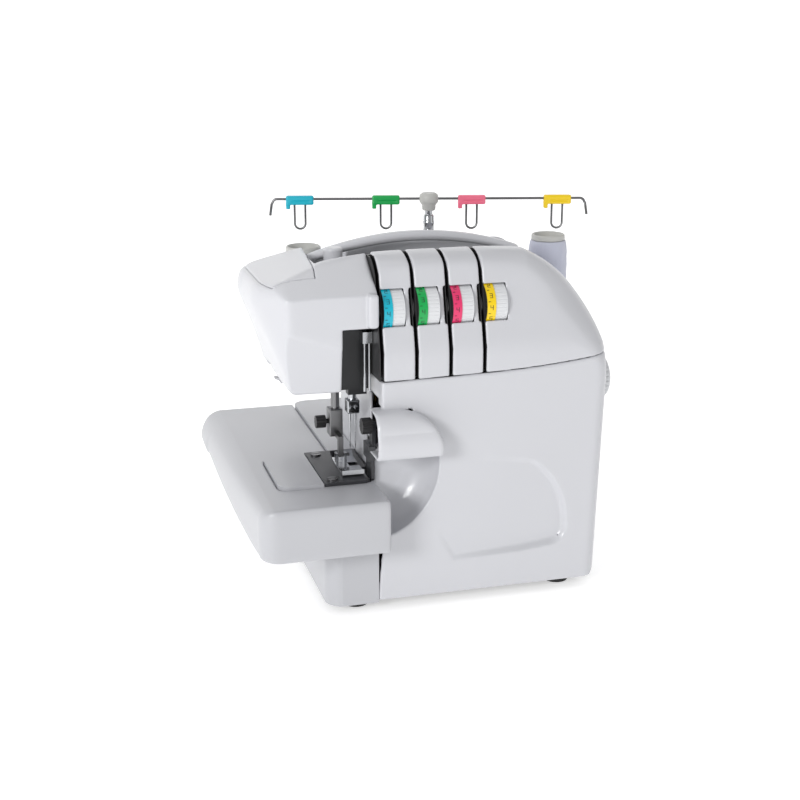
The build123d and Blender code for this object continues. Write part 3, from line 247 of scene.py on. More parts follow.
# ------------------------------------------------------------------ materials
def material(name, colour, rough, metal=0.0, grain=0.02, grain_scale=900.0, mottle=0.03,
             coat=0.0, wear=0.0, streak=None, sheen=0.0, specular=0.5):
    """A procedural finish: fine grain, patchy roughness, faint colour drift and worn edges."""
    mat = bpy.data.materials.new(name)
    mat.use_nodes = True
    tree = mat.node_tree
    link = tree.links.new
    shader = tree.nodes["Principled BSDF"]
    shader.inputs["Metallic"].default_value = metal
    shader.inputs["Coat Weight"].default_value = coat
    shader.inputs["Coat Roughness"].default_value = 0.12
    shader.inputs["Sheen Weight"].default_value = sheen
    shader.inputs["Specular IOR Level"].default_value = specular
    where = tree.nodes.new("ShaderNodeTexCoord")
    place = tree.nodes.new("ShaderNodeMapping")
    link(where.outputs["Object"], place.inputs["Vector"])
    if streak:
        place.inputs["Scale"].default_value = streak

    def noise(scale, detail):
        n = tree.nodes.new("ShaderNodeTexNoise")
        n.inputs["Scale"].default_value = scale
        n.inputs["Detail"].default_value = detail
        link(place.outputs["Vector"], n.inputs["Vector"])
        return n

    patch = noise(14.0, 4.0)
    spread = tree.nodes.new("ShaderNodeMapRange")
    spread.inputs["To Min"].default_value = max(rough - 0.06, 0.02)
    spread.inputs["To Max"].default_value = min(rough + 0.08, 1.0)
    link(patch.outputs["Fac"], spread.inputs["Value"])
    link(spread.outputs["Result"], shader.inputs["Roughness"])
    tint = tree.nodes.new("ShaderNodeMix")
    tint.data_type = "RGBA"
    dark = [c * (1 - mottle) for c in colour]
    light = [min(c * (1 + mottle * 0.4), 1.0) for c in colour]
    tint.inputs["A"].default_value = (*dark, 1)
    tint.inputs["B"].default_value = (*light, 1)
    link(patch.outputs["Fac"], tint.inputs["Factor"])
    result = tint.outputs["Result"]
    if wear:
        shape = tree.nodes.new("ShaderNodeNewGeometry")
        edge = tree.nodes.new("ShaderNodeMapRange")
        edge.inputs["From Min"].default_value = 0.52
        edge.inputs["From Max"].default_value = 0.62
        edge.inputs["To Max"].default_value = wear
        link(shape.outputs["Pointiness"], edge.inputs["Value"])
        rub = tree.nodes.new("ShaderNodeMix")
        rub.data_type = "RGBA"
        rub.inputs["B"].default_value = (*[min(c * 1.5 + 0.04, 1.0) for c in colour], 1)
        link(result, rub.inputs["A"])
        link(edge.outputs["Result"], rub.inputs["Factor"])
        result = rub.outputs["Result"]
    link(result, shader.inputs["Base Color"])
    fine = noise(grain_scale, 3.0)
    bump = tree.nodes.new("ShaderNodeBump")
    bump.inputs["Strength"].default_value = grain
    bump.inputs["Distance"].default_value = 0.0004
    link(fine.outputs["Fac"], bump.inputs["Height"])
    link(bump.outputs["Normal"], shader.inputs["Normal"])
    return mat


WHITE = material("moulded_white", (0.575, 0.58, 0.61), 0.30, grain=0.05, coat=0.25, mottle=0.02)
# A darker copy of the moulded white: painted shade for the less lit top of the cloth table and
# the bed.
TABLE_WHITE_SHADED = material("table_white_painted_shade", (0.47, 0.475, 0.50), 0.36, grain=0.06, coat=0.15,
                       mottle=0.025)
DRUM_WHITE = material("dial_white", (0.66, 0.67, 0.69), 0.34, grain=0.05, coat=0.2)
PALE_GREY = material("pale_grey", (0.50, 0.50, 0.48), 0.42, grain=0.08, mottle=0.04)
INNER_GREY = material("inner_grey", (0.022, 0.023, 0.026), 0.40, grain=0.08, mottle=0.06)
BLACK = material("black_plastic", (0.012, 0.012, 0.013), 0.42, grain=0.10, mottle=0.2,
                 wear=0.35)
RUBBER = material("foot_rubber", (0.02, 0.02, 0.02), 0.75, grain=0.25, grain_scale=500,
                  mottle=0.3, wear=0.3)
CYAN = material("cyan_plastic", (0.0, 0.42, 0.55), 0.30, grain=0.05, coat=0.2)
GREEN = material("green_plastic", (0.0, 0.36, 0.07), 0.30, grain=0.05, coat=0.2)
PINK = material("pink_plastic", (0.72, 0.03, 0.14), 0.30, grain=0.05, coat=0.2)
PINK_CLIP = material("pink_clip", (0.86, 0.16, 0.26), 0.30, grain=0.05, coat=0.2)
YELLOW = material("yellow_plastic", (0.86, 0.60, 0.0), 0.30, grain=0.05, coat=0.2)
CHROME = material("bright_steel", (0.46, 0.47, 0.49), 0.16, 1.0, grain=0.02, mottle=0.08)
# Base colour set far below bare steel: painted shade standing in for the dark studio reflections
# on the steel parts.
STEEL = material("brushed_steel_painted_dark_reflection", (0.20, 0.20, 0.205), 0.30, 1.0, grain=0.12, mottle=0.15,
                 streak=(1, 9, 1), wear=0.4)
DARK_STEEL = material("ground_dark_steel", (0.022, 0.023, 0.027), 0.36, 0.5, grain=0.14,
                      mottle=0.15, streak=(9, 1, 1), wear=0.7)
CAST = material("cast_aluminium", (0.45, 0.45, 0.46), 0.55, 0.9, grain=0.5, grain_scale=350,
                mottle=0.15)
BRASS = material("turned_brass", (0.55, 0.37, 0.13), 0.30, 1.0, grain=0.08, mottle=0.15)
MOTOR = material("motor_enamel", (0.03, 0.033, 0.04), 0.38, grain=0.12, mottle=0.2, wear=0.3)
INK = material("dial_ink", (0.01, 0.01, 0.01), 0.5, mottle=0.2)


def thread_material():
    """Wound thread: crossed fine windings in the bump and a soft sheen."""
    mat = material("wound_thread", (0.60, 0.62, 0.74), 0.62, mottle=0.06, sheen=0.35, grain=0.2,
                   grain_scale=1500)
    tree = mat.node_tree
    link = tree.links.new
    where = tree.nodes.new("ShaderNodeTexCoord")
    height = None
    for tilt in (0.09, -0.09):
        lay = tree.nodes.new("ShaderNodeMapping")
        lay.inputs["Rotation"].default_value = (tilt, tilt, 0)
        link(where.outputs["Object"], lay.inputs["Vector"])
        wave = tree.nodes.new("ShaderNodeTexWave")
        wave.bands_direction = "Z"
        wave.inputs["Scale"].default_value = 420.0
        wave.inputs["Distortion"].default_value = 1.2
        link(lay.outputs["Vector"], wave.inputs["Vector"])
        if height is None:
            height = wave.outputs["Fac"]
        else:
            join = tree.nodes.new("ShaderNodeMath")
            join.operation = "MAXIMUM"
            link(height, join.inputs[0])
            link(wave.outputs["Fac"], join.inputs[1])
            height = join.outputs["Value"]
    bump = next(n for n in tree.nodes if n.type == "BUMP")
    bump.inputs["Strength"].default_value = 0.6
    link(height, bump.inputs["Height"])
    return mat


THREAD = thread_material()


# ------------------------------------------------------------------ casings
FRONT_OUTLINE = clean([(-400.0, -100.0), (121.8, -100.0), (COLUMN_R, 180.0), (129.5, 206.0),
                       (66.0, 281.0), (-64.0, 283.0), (-400.0, 283.0)],
                      [(3, (107.5, 250.0)), (4, (0.0, 286.2))], 24)


def seam_line(x):
    """Height of the seam under the tension panels."""
    return SEAM_Z + 1.6 * ramp(x, -60, 40) + 0.00062 * np.clip(x - 10, 0, None) ** 2


def column(x, y, z, grow=0.0, lens=True):
    """The body right of the head. The dial panels are a flat leaning cut through a domed
    front, so that the cut's edge is an oval. Shrunk, it is open below."""
    low = CASE_LOW + CASE_RISE * ramp(y, FRONT + 2.0, -102.0) - z
    if grow < 0:
        z = np.maximum(z, 30.0)
        low = low - 100.0
    side = polygon(FRONT_OUTLINE, x, z) - grow
    high = ramp(z, DOME_LOW, DOME_HIGH)
    depth_x, depth_y = EDGE + DOME_X * high, EDGE + DOME_Y * high
    u = np.clip((depth_x + side) / depth_x, 0, None)
    v = np.clip((depth_y - (y - FRONT + grow)) / depth_y, 0, None)
    length = np.sqrt(u * u + v * v) + 1e-6
    slope = np.sqrt((u / depth_x) ** 2 + (v / depth_y) ** 2) / length + 1e-6
    dome = np.where(length > 0.4, (length - 1) / slope, np.maximum(side, FRONT - grow - y))
    dome = np.maximum(dome, np.maximum(side, FRONT - grow - y))
    back = both(side, y - BACK - grow, 30.0)
    tail = polygon(BACK_OUTLINE, y, z) - grow
    d = both(both(dome, back), tail, 3.0)
    if lens:
        lean = (FRONT + LEAN * (z - CREASE_Z) - grow - y) / math.hypot(1, LEAN)
        d = both(d, lean, 2.2)
    return both(d, low, 1.5)


BACK_OUTLINE = clean([(-300.0, 5.0), (-300.0, 400.0), (-100.0, CROWN_Z + 10), (-95.0, 274.5),
                      (PANEL_BACK, CROWN_Z), (8.0, RIDGE_TOP), (BACK, 240.0), (BACK, 5.0)],
                     [(3, (-84.0, 279.7)), (5, (30.5, 266.5))], 16)


def dial_windows(x, y, z):
    """Drums of space round the four dials."""
    d = None
    for i in DIALS:
        low, high = node_mm(f"dial_ring_{i + 1}")
        cy, cz = (low[1] + high[1]) / 2, (low[2] + high[2]) / 2
        radius = (high[2] - low[2]) / 2 + 0.7
        end = node_mm(f"dial_drum_{i + 1}")[1][0]
        round_part = np.sqrt((y - cy) ** 2 + (z - cz) ** 2) - radius
        one = both(round_part, slab(x, low[0] - 6, end + 0.9), 0.8)
        d = one if d is None else np.minimum(d, one)
    return d


def tension_panels():
    """Three narrow panels and the big right one."""
    names = ("panel_segment_1", "panel_segment_2", "panel_segment_3", "right_panel")
    for i, name in enumerate(names):
        end = node_mm(name)[1][0] + 2
        left = SLOT_X + i * SLOT_PITCH + SLOT_W - LIP
        right = left + SLOT_PITCH - SLOT_W + 2 * LIP if i < 3 else 400.0

        def field(x, y, z, left=left, right=right):
            outer = column(x, y, z)
            ends = both(slab(x, left, right), y - PANEL_BACK)
            foot = seam_line(x) + 0.2 - z
            solid = both(both(outer, ends, 1.8), foot, 0.9)
            back_rim = slab(y, PANEL_BACK - WALL, PANEL_BACK)
            shell = both(solid, np.minimum(-column(x, y, z, -WALL), back_rim))
            return less(shell, dial_windows(x, y, z), 0.9)

        skin(name + "_skin", field, (left, end), (FRONT, PANEL_BACK),
             (SEAM_Z - 1, CROWN_Z + 4), 0.9, "machine_body", WHITE, [name])


def door():
    """Looper cover: chute, sleeve and finger recess in one moulding."""
    sleeve_side = clean([(FRONT + 14, SLEEVE_TOP), (FRONT + 1, SLEEVE_TOP), (-127.0, 152.0),
                         (-125.5, SLEEVE_LOW), (FRONT + 14, SLEEVE_LOW)],
                        [(1, (-121.5, 164.5)), (2, (-128.6, 141.0))], 12)

    def nose(left):
        return clean([(left, SLEEVE_LOW), (-13.5, SLEEVE_LOW), (-33.0, 165.0),
                      (-45.0, SLEEVE_TOP), (left, SLEEVE_TOP)], [(1, (-17.5, 152.0))], 12)

    sleeve_face, bore_face = nose(-67.5), nose(-90.0)
    dish = clean([(10.0, 124.0), (66.0, 116.0), (96.8, 60.0), (85.0, 41.0), (58.0, 38.2),
                  (0.0, 36.5), (-20.0, 70.0)], [(1, (88.5, 92.0)), (2, (95.0, 48.0))], 14)

    def field(x, y, z):
        rho = np.sqrt((x - SCOOP_X) ** 2 + (z - SCOOP_Z) ** 2)
        deep, flat = y - FRONT, rho - (SCOOP_R - SCOOP_DEPTH)
        curved = np.sqrt(np.maximum(flat, 0) ** 2 + deep ** 2) - SCOOP_DEPTH
        bowl = np.where(deep < 0, rho - SCOOP_R,
                        np.where(flat < 0, deep - SCOOP_DEPTH, curved))

        def scoop(grow):
            return both(bowl - grow, z - SCOOP_TOP - grow)

        # The finger recess is deepest at its lower right and fades out to the upper left.
        edge = polygon(dish, x, z)
        fade = ramp((x - 5.0) * 0.72 + (118.0 - z) * 0.45, 0.0, 92.0)
        dip = 4.6 * fade * ramp(-edge, -1.2, 4.2)
        left = DOOR_L - DOOR_SPREAD * ramp(60.0 - z, 0.0, 54.0)
        top = z - seam_line(x) + 0.2
        outer = column(x, y, z, lens=False)
        outer = np.maximum(outer, (FRONT + dip - y) * 0.8)
        inner = np.maximum(column(x, y, z, -WALL, lens=False), (FRONT + dip + WALL - y) * 0.8)
        flange = np.where(z > 168.0, left + WALL - x, -50.0)
        region = both(both(left - x, top, 0.9), y - DOOR_BACK)
        body = less(both(outer, region, 2.2), scoop(0.0), 1.2)
        shell = less(body, less(np.maximum(inner, flange), scoop(WALL)))
        chute = both(both(scoop(WALL), left - x, 1.0), y - FRONT - 30.0)
        chute = less(np.maximum(chute, column(x, y, z, lens=False)), scoop(0.0), 1.2)
        shell = either(shell, chute)
        # Behind the hinge the side wall is cut away, so that it can swing past the casing.
        heel = both(DOOR_BACK - 2.3 - y, z - 13.6)
        shell = less(shell, heel)
        barrel = both(both(polygon(sleeve_side, y, z), polygon(sleeve_face, x, z), 5.0),
                      y - FRONT - 8.0)
        bore = both(polygon(sleeve_side, y, z) + WALL, polygon(bore_face, x, z) + WALL, 3.0)
        whole = either(shell, barrel, 2.5)
        window = brick(x, y, z, (-80.0, -33.0), (FRONT - 2, -80.0), (132.6, 166.4), 3.0)
        return less(less(whole, bore, 1.2), window, 1.0)

    end = node_mm("looper_cover")[1][0] + 1
    skin("looper_cover_skin", field, (-68.0, end), (-131.0, -78.0), (9.0, 200.0), 1.0,
         "looper_cover", WHITE, ["looper_cover"])


HEAD_OUTLINE = clean([(-123.0, CHIN_Z), (-129.5, 188.0), (-151.0, 243.0), (-147.0, 261.5),
                      (-96.0, 277.5), (HEAD_R, CROWN_Z), (HEAD_R, RECESS_Z), (HEAD_R, CHIN_Z)],
                     [(0, (-127.5, 183.0)), (1, (-138.0, 214.0)), (2, (-152.0, 253.5))], 16)
HEAD_SIDE = clean([(HEAD_FRONT, CHIN_Z - 30), (HEAD_FRONT, 214.0), (-105.5, 256.5),
                   (PANEL_BACK, CROWN_Z), (-30.0, CROWN_Z), (HEAD_BACK, 250.0),
                   (HEAD_BACK, CHIN_Z)], [(4, (6.0, 274.0))], 16)
HEAD_PLAN = clean([(-20.0, HEAD_FRONT), (-124.0, HEAD_FRONT), (-132.5, -101.5),
                   (-151.5, -58.0), (-152.0, -20.0), (-126.0, HEAD_BACK), (-20.0, HEAD_BACK)],
                  [(1, (-129.8, -105.6)), (2, (-145.5, -77.0)), (4, (-146.0, 11.0))], 14)


def head_solid(x, y, z, grow=0.0):
    """The head's outside, with a chin that falls back below a slanting crease and a brow that
    slopes back above the front."""
    d = both(polygon(HEAD_PLAN, x, y), polygon(HEAD_OUTLINE, x, z), 9.0) - grow
    d = both(d, polygon(HEAD_SIDE, y, z) - grow, 4.0)
    crease = 216.5 + 0.36 * (-88.0 - x)
    chin = (-106.5 + 0.15 * (crease - z) + 1.2 * ramp(crease - z, 0.0, 3.0) - y) * 0.985
    d = both(d, np.where(z < crease + 4, chin - grow, -50.0), 1.5)
    brow = 256.0 + 9.5 * ramp(x, -128.0, -62.0)
    top = (z - brow) * 0.80 - (y + 106.0) * 0.60
    return both(d, top - grow, 2.0)


def recess(x, y, z, grow):
    """The space in front of the body where the needles work."""
    return brick(x, y, z, (RECESS_L - grow, 0.0), (-300.0, RECESS_BACK + grow),
                 (0.0, RECESS_Z + grow))


def well(x, y, z, grow, left=-100.0):
    """The trough that the handle folds into."""
    return brick(x, y, z, (left - grow, WELL_R + grow), (PANEL_BACK - grow, WELL_BACK + grow),
                 (WELL_FLOOR - grow, 500.0))


def in_lid(x, y, z, gap):
    """The corner of the head that lifts off as the top lid."""
    slant = x - LID_RIGHT - 0.09 * (y + 15.0)
    return both(both(slant + gap, LID_FRONT + gap - y), LID_LOW + gap - z)


def upright_bore(x, y, z, axis, radius, low, high):
    """A vertical hole round an (x, y) axis."""
    return both(np.sqrt((x - axis[0]) ** 2 + (y - axis[1]) ** 2) - radius, slab(z, low, high))


def head():
    """The head's casing and its top lid."""
    lid_end = node_mm("head_top_lid")[1][0]

    def casing(x, y, z):
        outer = less(head_solid(x, y, z), recess(x, y, z, 0.0), 2.0)
        outer = less(outer, well(x, y, z, 0.0), 1.6)
        inner = less(less(head_solid(x, y, z, -WALL), recess(x, y, z, WALL)),
                     well(x, y, z, WALL))
        cap = brick(x, y, z, (-69.0, -60.6), (-110.3, -100.0), (231.5, 258.0), 3.0)
        shell = less(either(outer, cap, 0.8), inner)
        shell = less(shell, in_lid(x, y, z, 0.0), 0.4)
        shell = less(shell, upright_bore(x, y, z, NEEDLE_BAR, 7.0, 150.0, 200.0), 0.8)
        shell = less(shell, upright_bore(x, y, z, PRESSER_BAR, 6.0, 150.0, 200.0), 0.8)
        shell = less(shell, upright_bore(x, y, z, PRESSER_BAR, 8.3, 250.0, 290.0), 0.8)
        lifter_slit = brick(x, y, z, (-132.0, -104.0), (-26.0, -8.0), (150.0, CHIN_Z + 6))
        side = brick(x, y, z, (-64.0, 0.0), LINK_Y, LINK_Z)
        return less(less(shell, lifter_slit, 1.0), side)

    def lid(x, y, z):
        shell = less(head_solid(x, y, z), head_solid(x, y, z, -WALL))
        skirt = both(head_solid(x, y, z), slab(x, -101.4, -98.5))
        shell = either(shell, both(skirt, slab(y, -86.0, WELL_BACK)))
        return both(shell, in_lid(x, y, z, 0.3), 0.7)

    skin("head_cover_skin", casing, (HEAD_L, HEAD_R), (-111.0, HEAD_BACK), (178.0, 286.0), 0.95,
         "machine_body", WHITE, ["head_cover"])
    skin("head_top_lid_skin", lid, (HEAD_L, lid_end), (-90.0, HEAD_BACK), (260.0, 282.0), 0.8,
         "machine_body", WHITE, ["head_top_lid"])


def rear():
    """Right side, back and top ridge, with the handle trough and an inner lip below."""
    left_of = (-200, -40)
    front_of = (-200, PANEL_BACK + 0.5)

    def field(x, y, z):
        outer = column(x, y, z, lens=False)
        outer = both(outer, COLUMN_L - x, 1.5)
        inner = both(column(x, y, z, -WALL, lens=False), COLUMN_L + WALL - x)
        trough = well(x, y, z, 0.0, left=-200.0)
        body = less(outer, trough, 1.6)
        hollow = less(inner, well(x, y, z, WALL, left=-200.0))
        shell = less(body, hollow)
        shell = both(shell, DOOR_BACK + 0.5 - y, 0.8)
        front_top = both(y - PANEL_BACK - 0.5, seam_line(x) - 0.2 - z)
        shell = less(shell, front_top, 0.6)
        shell = less(shell, brick(x, y, z, left_of, front_of, (0, 171)), 0.6)
        shell = less(shell, brick(x, y, z, left_of, front_of, (224, 400)), 0.6)
        shell = less(shell, brick(x, y, z, (-60, -50), (-200, -50), (55, 130)), 0.6)
        shell = less(shell, brick(x, y, z, (-60, -52), LINK_Y, LINK_Z))
        wheel = np.sqrt((y - WHEEL_Y) ** 2 + (z - WHEEL_Z) ** 2) - WHEEL_BORE
        shell = less(shell, both(wheel, 110.0 - x), 0.8)
        inlet = brick(x, y, z, (120, 140), (-20, 24), (30, 62))
        shell = less(shell, inlet, 0.6)
        for k in range(VENTS):
            low = VENT_LOW + VENT_PITCH * k
            vent = brick(x, y, z, (0.0, 60.0), (30.0, 60.0), (low, low + VENT_H), 1.2)
            shell = less(shell, vent, 0.8)
        spindle = np.sqrt((y - SPINDLE_Y) ** 2 + (z - SPINDLE_Z) ** 2) - SPINDLE_BORE
        shell = less(shell, both(spindle, 110.0 - x), 0.8)
        lip = both(outer, z - CASE_LOW - 5.6)
        lip = less(lip, both(x - TRAY_RIGHT, y - TRAY_BACK))
        return either(shell, both(lip, DOOR_BACK + 0.5 - y))

    skin("rear_casing_skin", field, (COLUMN_L, COLUMN_R), (DOOR_BACK, BACK), (9.0, 285.0), 1.4,
         "machine_body", WHITE, ["rear_casing"])


TABLE_FRONT_VIEW = clean([(-20.0, BED_TOP), (-150.0, BED_TOP), (-169.0, 80.0), (-163.0, 55.0),
                          (-20.0, 55.0)], [(1, (-161.5, 98.5)), (2, (-168.0, 66.0))], 14)
TABLE_SIDE = clean([(-140.0, 60.0), (-140.0, BED_TOP), (140.0, BED_TOP), (140.0, 78.0),
                    (-100.0, 61.0)])
TABLE_PLAN = clean([(40.0, -140.0), (-143.0, -140.0), (-160.0, -122.0), (-169.0, 90.0),
                    (-150.0, 140.0), (40.0, 140.0)],
                   [(1, (-155.5, -135.5)), (2, (-167.0, -16.0)), (3, (-166.0, 134.0))], 14)


def table_solid(x, y, z, grow=0.0):
    """The cloth table's outside, before it is cut out for the free arm."""
    d = both(polygon(TABLE_FRONT_VIEW, x, z), polygon(TABLE_SIDE, y, z), 9.0)
    return both(d, polygon(TABLE_PLAN, x, y), 6.0) - grow


def table():
    """The cloth table: a hollow moulding, open below, cut out round the free arm."""
    def notch(x, y, grow):
        arm = both(slab(x, ARM_L - grow, 100.0), slab(y, ARM_FRONT - grow, ARM_BACK + grow), 9.0)
        seam = both(TABLE_SEAM - grow - x, slab(y, ARM_FRONT - grow, 400.0))
        plate = both(PLATE_LOW[0] - 0.5 - grow - x,
                     slab(y, ARM_FRONT, PLATE_HIGH[1] + 0.5 + grow))
        return np.minimum(np.minimum(arm, seam), plate)

    def field(x, y, z):
        outer = table_solid(x, y, z)
        outer = both(outer, x - TABLE_HIGH[0], 3.0)
        outer = less(outer, notch(x, y, 0.0), 0.7)
        inner = both(np.minimum(table_solid(x, y, z, -WALL), table_solid(x, y, z + 8, -WALL)),
                     x - TABLE_HIGH[0] + WALL)
        shell = less(outer, less(inner, notch(x, y, WALL)))
        return less(shell, brick(x, y, z, (-105, 0), (FRONT - 1, 45), (0, 61.1)), 0.8)

    skin("extension_table_skin", field, (TABLE_LOW[0], TABLE_HIGH[0]), (-140, 140),
         (52, BED_TOP), 1.1, "extension_table", TABLE_WHITE_SHADED, ["extension_table"])


def bevelled(name, width, finish):
    """Gives a CAD node rounded edges and a finish."""
    piece = NODES[name]
    piece.data.materials.clear()
    piece.data.materials.append(finish)
    if width:
        edge = piece.modifiers.new("edges", "BEVEL")
        edge.width = width * MM
        edge.segments = 3
        edge.limit_method = "ANGLE"
        edge.angle_limit = math.radians(28)
        edge.harden_normals = True
    for face in piece.data.polygons:
        face.use_smooth = True
    return piece


# ------------------------------------------------------------------ small meshes
def mesh_piece(name, verts, faces, body, finish):
    """A piece from vertices in metres, riding on a body."""
    mesh = bpy.data.meshes.new(name)
    mesh.from_pydata(verts, [], faces)
    mesh.update()
    piece = bpy.data.objects.new(name, mesh)
    bpy.context.scene.collection.objects.link(piece)
    piece.data.materials.append(finish)
    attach(piece, body)
    return piece


def tube_faces(rings, sides):
    """Quads that join rings of vertices one after another."""
    faces = []
    for i in range(rings - 1):
        for k in range(sides):
            a, b = i * sides + k, i * sides + (k + 1) % sides
            faces.append((a, b, b + sides, a + sides))
    return faces


def turned(name, profile, centre, body, finish, sides=64, axis="Z"):
    """A solid of revolution from (radius, height) points, both in millimetres."""
    verts = []
    for r, h in profile:
        for k in range(sides):
            t = 2 * math.pi * k / sides
            spot = {"Z": (r * math.cos(t), r * math.sin(t), h),
                    "X": (h, r * math.cos(t), r * math.sin(t))}[axis]
            verts.append([(c + s) * MM for c, s in zip(centre, spot)])
    piece = mesh_piece(name, verts, tube_faces(len(profile), sides), body, finish)
    for face in piece.data.polygons:
        face.use_smooth = True
    edge = piece.modifiers.new("edges", "EDGE_SPLIT")
    edge.split_angle = math.radians(35)
    return piece


def wire(name, points, radius, body, finish):
    """A bent round wire through (x, y, z) points in millimetres."""
    sides = 12
    path = np.array(points, float)
    along = np.gradient(path, axis=0)
    along /= np.linalg.norm(along, axis=1)[:, None]
    across = np.cross(along, (0.0, 1.0, 0.0))
    across /= np.linalg.norm(across, axis=1)[:, None]
    other = np.cross(along, across)
    verts = []
    for spot, u, v in zip(path, across, other):
        for k in range(sides):
            t = 2 * math.pi * k / sides
            verts.append((spot + radius * (math.cos(t) * u + math.sin(t) * v)) * MM)
    faces = tube_faces(len(path), sides)
    faces.append(tuple(range(sides)))
    faces.append(tuple(range(len(verts) - 1, len(verts) - sides - 1, -1)))
    piece = mesh_piece(name, verts, faces, body, finish)
    for face in piece.data.polygons:
        face.use_smooth = len(face.vertices) == 4
    return piece


def spools():
    """Cores with a rolled rim, and thread wound in a slightly uneven cylinder."""
    rng = np.random.default_rng(7)
    pin, bore, barrel, rim, foot, wound_r = 3.3, 10.5, 12.2, 15.0, 16.0, 17.4
    rows = 64
    for i in DIALS:
        node = f"thread_spool_{i + 1}"
        low, high = node_mm(node)
        x, y = (low[0] + high[0]) / 2, (low[1] + high[1]) / 2
        centre = (x, y, 0.0)
        top, base = high[2], low[2]
        lower, upper = base + 4.0, top - 5.6
        core = [(pin, base), (foot, base), (foot, base + 3.2), (foot - 0.8, lower),
                (barrel, lower), (barrel, top - 6.5), (rim - 1.4, upper), (rim, top - 4.6),
                (rim, top - 1.0), (rim - 0.9, top), (rim - 1.9, top - 0.4), (bore + 1, top - 3.0),
                (bore, top - 6), (bore, base + 3.0), (pin, base + 3.0), (pin, base)]
        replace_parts(turned(f"spool_core_{i + 1}", core, centre, node, PALE_GREY), node)
        wound = [(barrel, lower)]
        for k in range(rows + 1):
            t = k / rows
            swell = 1 - 0.10 * abs(2 * t - 1) ** 9
            ripple = 0.10 * math.sin(t * 46 + i) + 0.06 * rng.standard_normal()
            wound.append((wound_r * swell + ripple * 0.6, lower + t * (upper - lower)))
        wound.append((barrel, upper))
        turned(f"spool_thread_{i + 1}", wound, centre, node, THREAD, 96)


def guide_bar():
    """Hooked wire bar, thread clips and their loops, turned about the pole."""
    pole_low, pole_high = node_mm("pole_outer")
    x0, y = (pole_low[0] + pole_high[0]) / 2, (pole_low[1] + pole_high[1]) / 2
    z, bend = node_mm("guide_wires")[1][2] - WIRE_R, WIRE_BEND
    left, right = x0 - BAR_HALF, x0 + BAR_HALF
    about = Vector((x0 * MM, y * MM, 0))
    turn = (Matrix.Translation(about) @ Matrix.Rotation(BAR_TURN, 4, "Z")
            @ Matrix.Translation(-about))
    points = [(left - 2.0, y - 2.0, z - 14.0), (left - 0.6, y - 0.5, z - bend)]
    points += [(left + bend - bend * math.cos(t), y, z - bend + bend * math.sin(t))
               for t in np.linspace(0.2, math.pi / 2, 7)]
    points += [(right - bend + bend * math.sin(t), y, z - bend + bend * math.cos(t))
               for t in np.linspace(0, math.pi / 2 - 0.2, 7)]
    points += [(right + 0.6, y - 0.5, z - bend), (right + 2.0, y - 2.0, z - 14.0)]
    bar = wire("guide_bar_wire", points, WIRE_R, "guide_bar", STEEL)
    bar.data.transform(turn)
    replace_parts(bar, "guide_wires")
    for i, colour in enumerate((CYAN, GREEN, PINK_CLIP, YELLOW)):
        spool_low, spool_high = node_mm(f"thread_spool_{i + 1}")
        x = (spool_low[0] + spool_high[0]) / 2

        def field(px, py, pz, x=x):
            body = brick(px, py, pz, (x - CLIP_HALF, x + CLIP_HALF), (y - 3, y + 3),
                         (z - 5, z + 3), 1.6)
            groove = brick(px, py, pz, (x - 7, x + 9), (y - 5, y - 2.3), (z - 2.4, z - 1.2), 0.8)
            tab = brick(px, py, pz, (x - CLIP_HALF, x - 8.4), (y - 3, y + 3),
                        (z - 8.5, z - 3), 0.8)
            return less(either(body, tab, 0.8), groove, 0.5)

        clip = skin(f"thread_clip_{i + 1}", field, (x - CLIP_HALF, x + CLIP_HALF),
                    (y - 3, y + 3), (z - 9, z + 3), 0.4, "guide_bar", colour)
        clip.data.transform(turn)
        if i == 0:
            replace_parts(clip, "thread_clips")
        half = LOOP_HALF - WIRE_R
        top, bottom = z - 4.0, z - 4.0 - LOOP_DROP
        loop = [(x - half, y, top), (x - half, y, bottom + half)]
        loop += [(x - half * math.cos(t), y, bottom + half - half * math.sin(t))
                 for t in np.linspace(0.15, math.pi - 0.15, 12)]
        loop += [(x + half, y, bottom + half), (x + half, y, top)]
        thin = wire(f"clip_loop_{i + 1}", loop, WIRE_R * 0.85, "guide_bar", STEEL)
        thin.data.transform(turn)


def pole():
    """Ribbed steel sleeve, slim inner tube, and the pale cap that turns with the guide bar."""
    low, high = node_mm("pole_outer")
    x, y = (low[0] + high[0]) / 2, (low[1] + high[1]) / 2
    cap_top = node_mm("thread_clips")[1][2]
    bar_z = node_mm("guide_wires")[1][2] - WIRE_R
    top, r = high[2], (high[0] - low[0]) / 2
    sleeve = [(r - 1.4, low[2]), (r - 0.4, low[2]), (r - 0.4, top - 26)]
    for k in range(3):
        z = top - 25 + 8.5 * k
        sleeve += [(r - 0.4, z), (r, z + 0.7), (r, z + 2.0), (r - 0.4, z + 2.7)]
    sleeve += [(r - 0.4, top - 1.0), (r - 1.0, top), (r - 1.4, top), (r - 1.4, low[2])]
    tube = turned("pole_sleeve", sleeve, (x, y, 0.0), "machine_body", CHROME)
    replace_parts(tube, "pole_outer")
    rod_bottom = node_mm("pole_inner")[0][2]
    rod = [(0.2, rod_bottom), (3.2, rod_bottom), (3.3, rod_bottom + 1), (3.3, bar_z - 8),
           (0.2, bar_z - 8)]
    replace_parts(turned("pole_rod", rod, (x, y, 0.0), "telescopic_pole", CHROME), "pole_inner")
    cap = [(3.4, bar_z - 10), (5.2, bar_z - 10), (5.8, bar_z - 9.2), (6.0, bar_z - 5.5),
           (7.6, bar_z - 3.4), (8.2, bar_z - 2.4), (8.2, cap_top - 2.4), (7.6, cap_top - 1.2),
           (6.6, cap_top - 0.6), (6.0, cap_top), (0.1, cap_top)]
    turned("pole_cap", cap, (x, y, 0.0), "guide_bar", PALE_GREY)


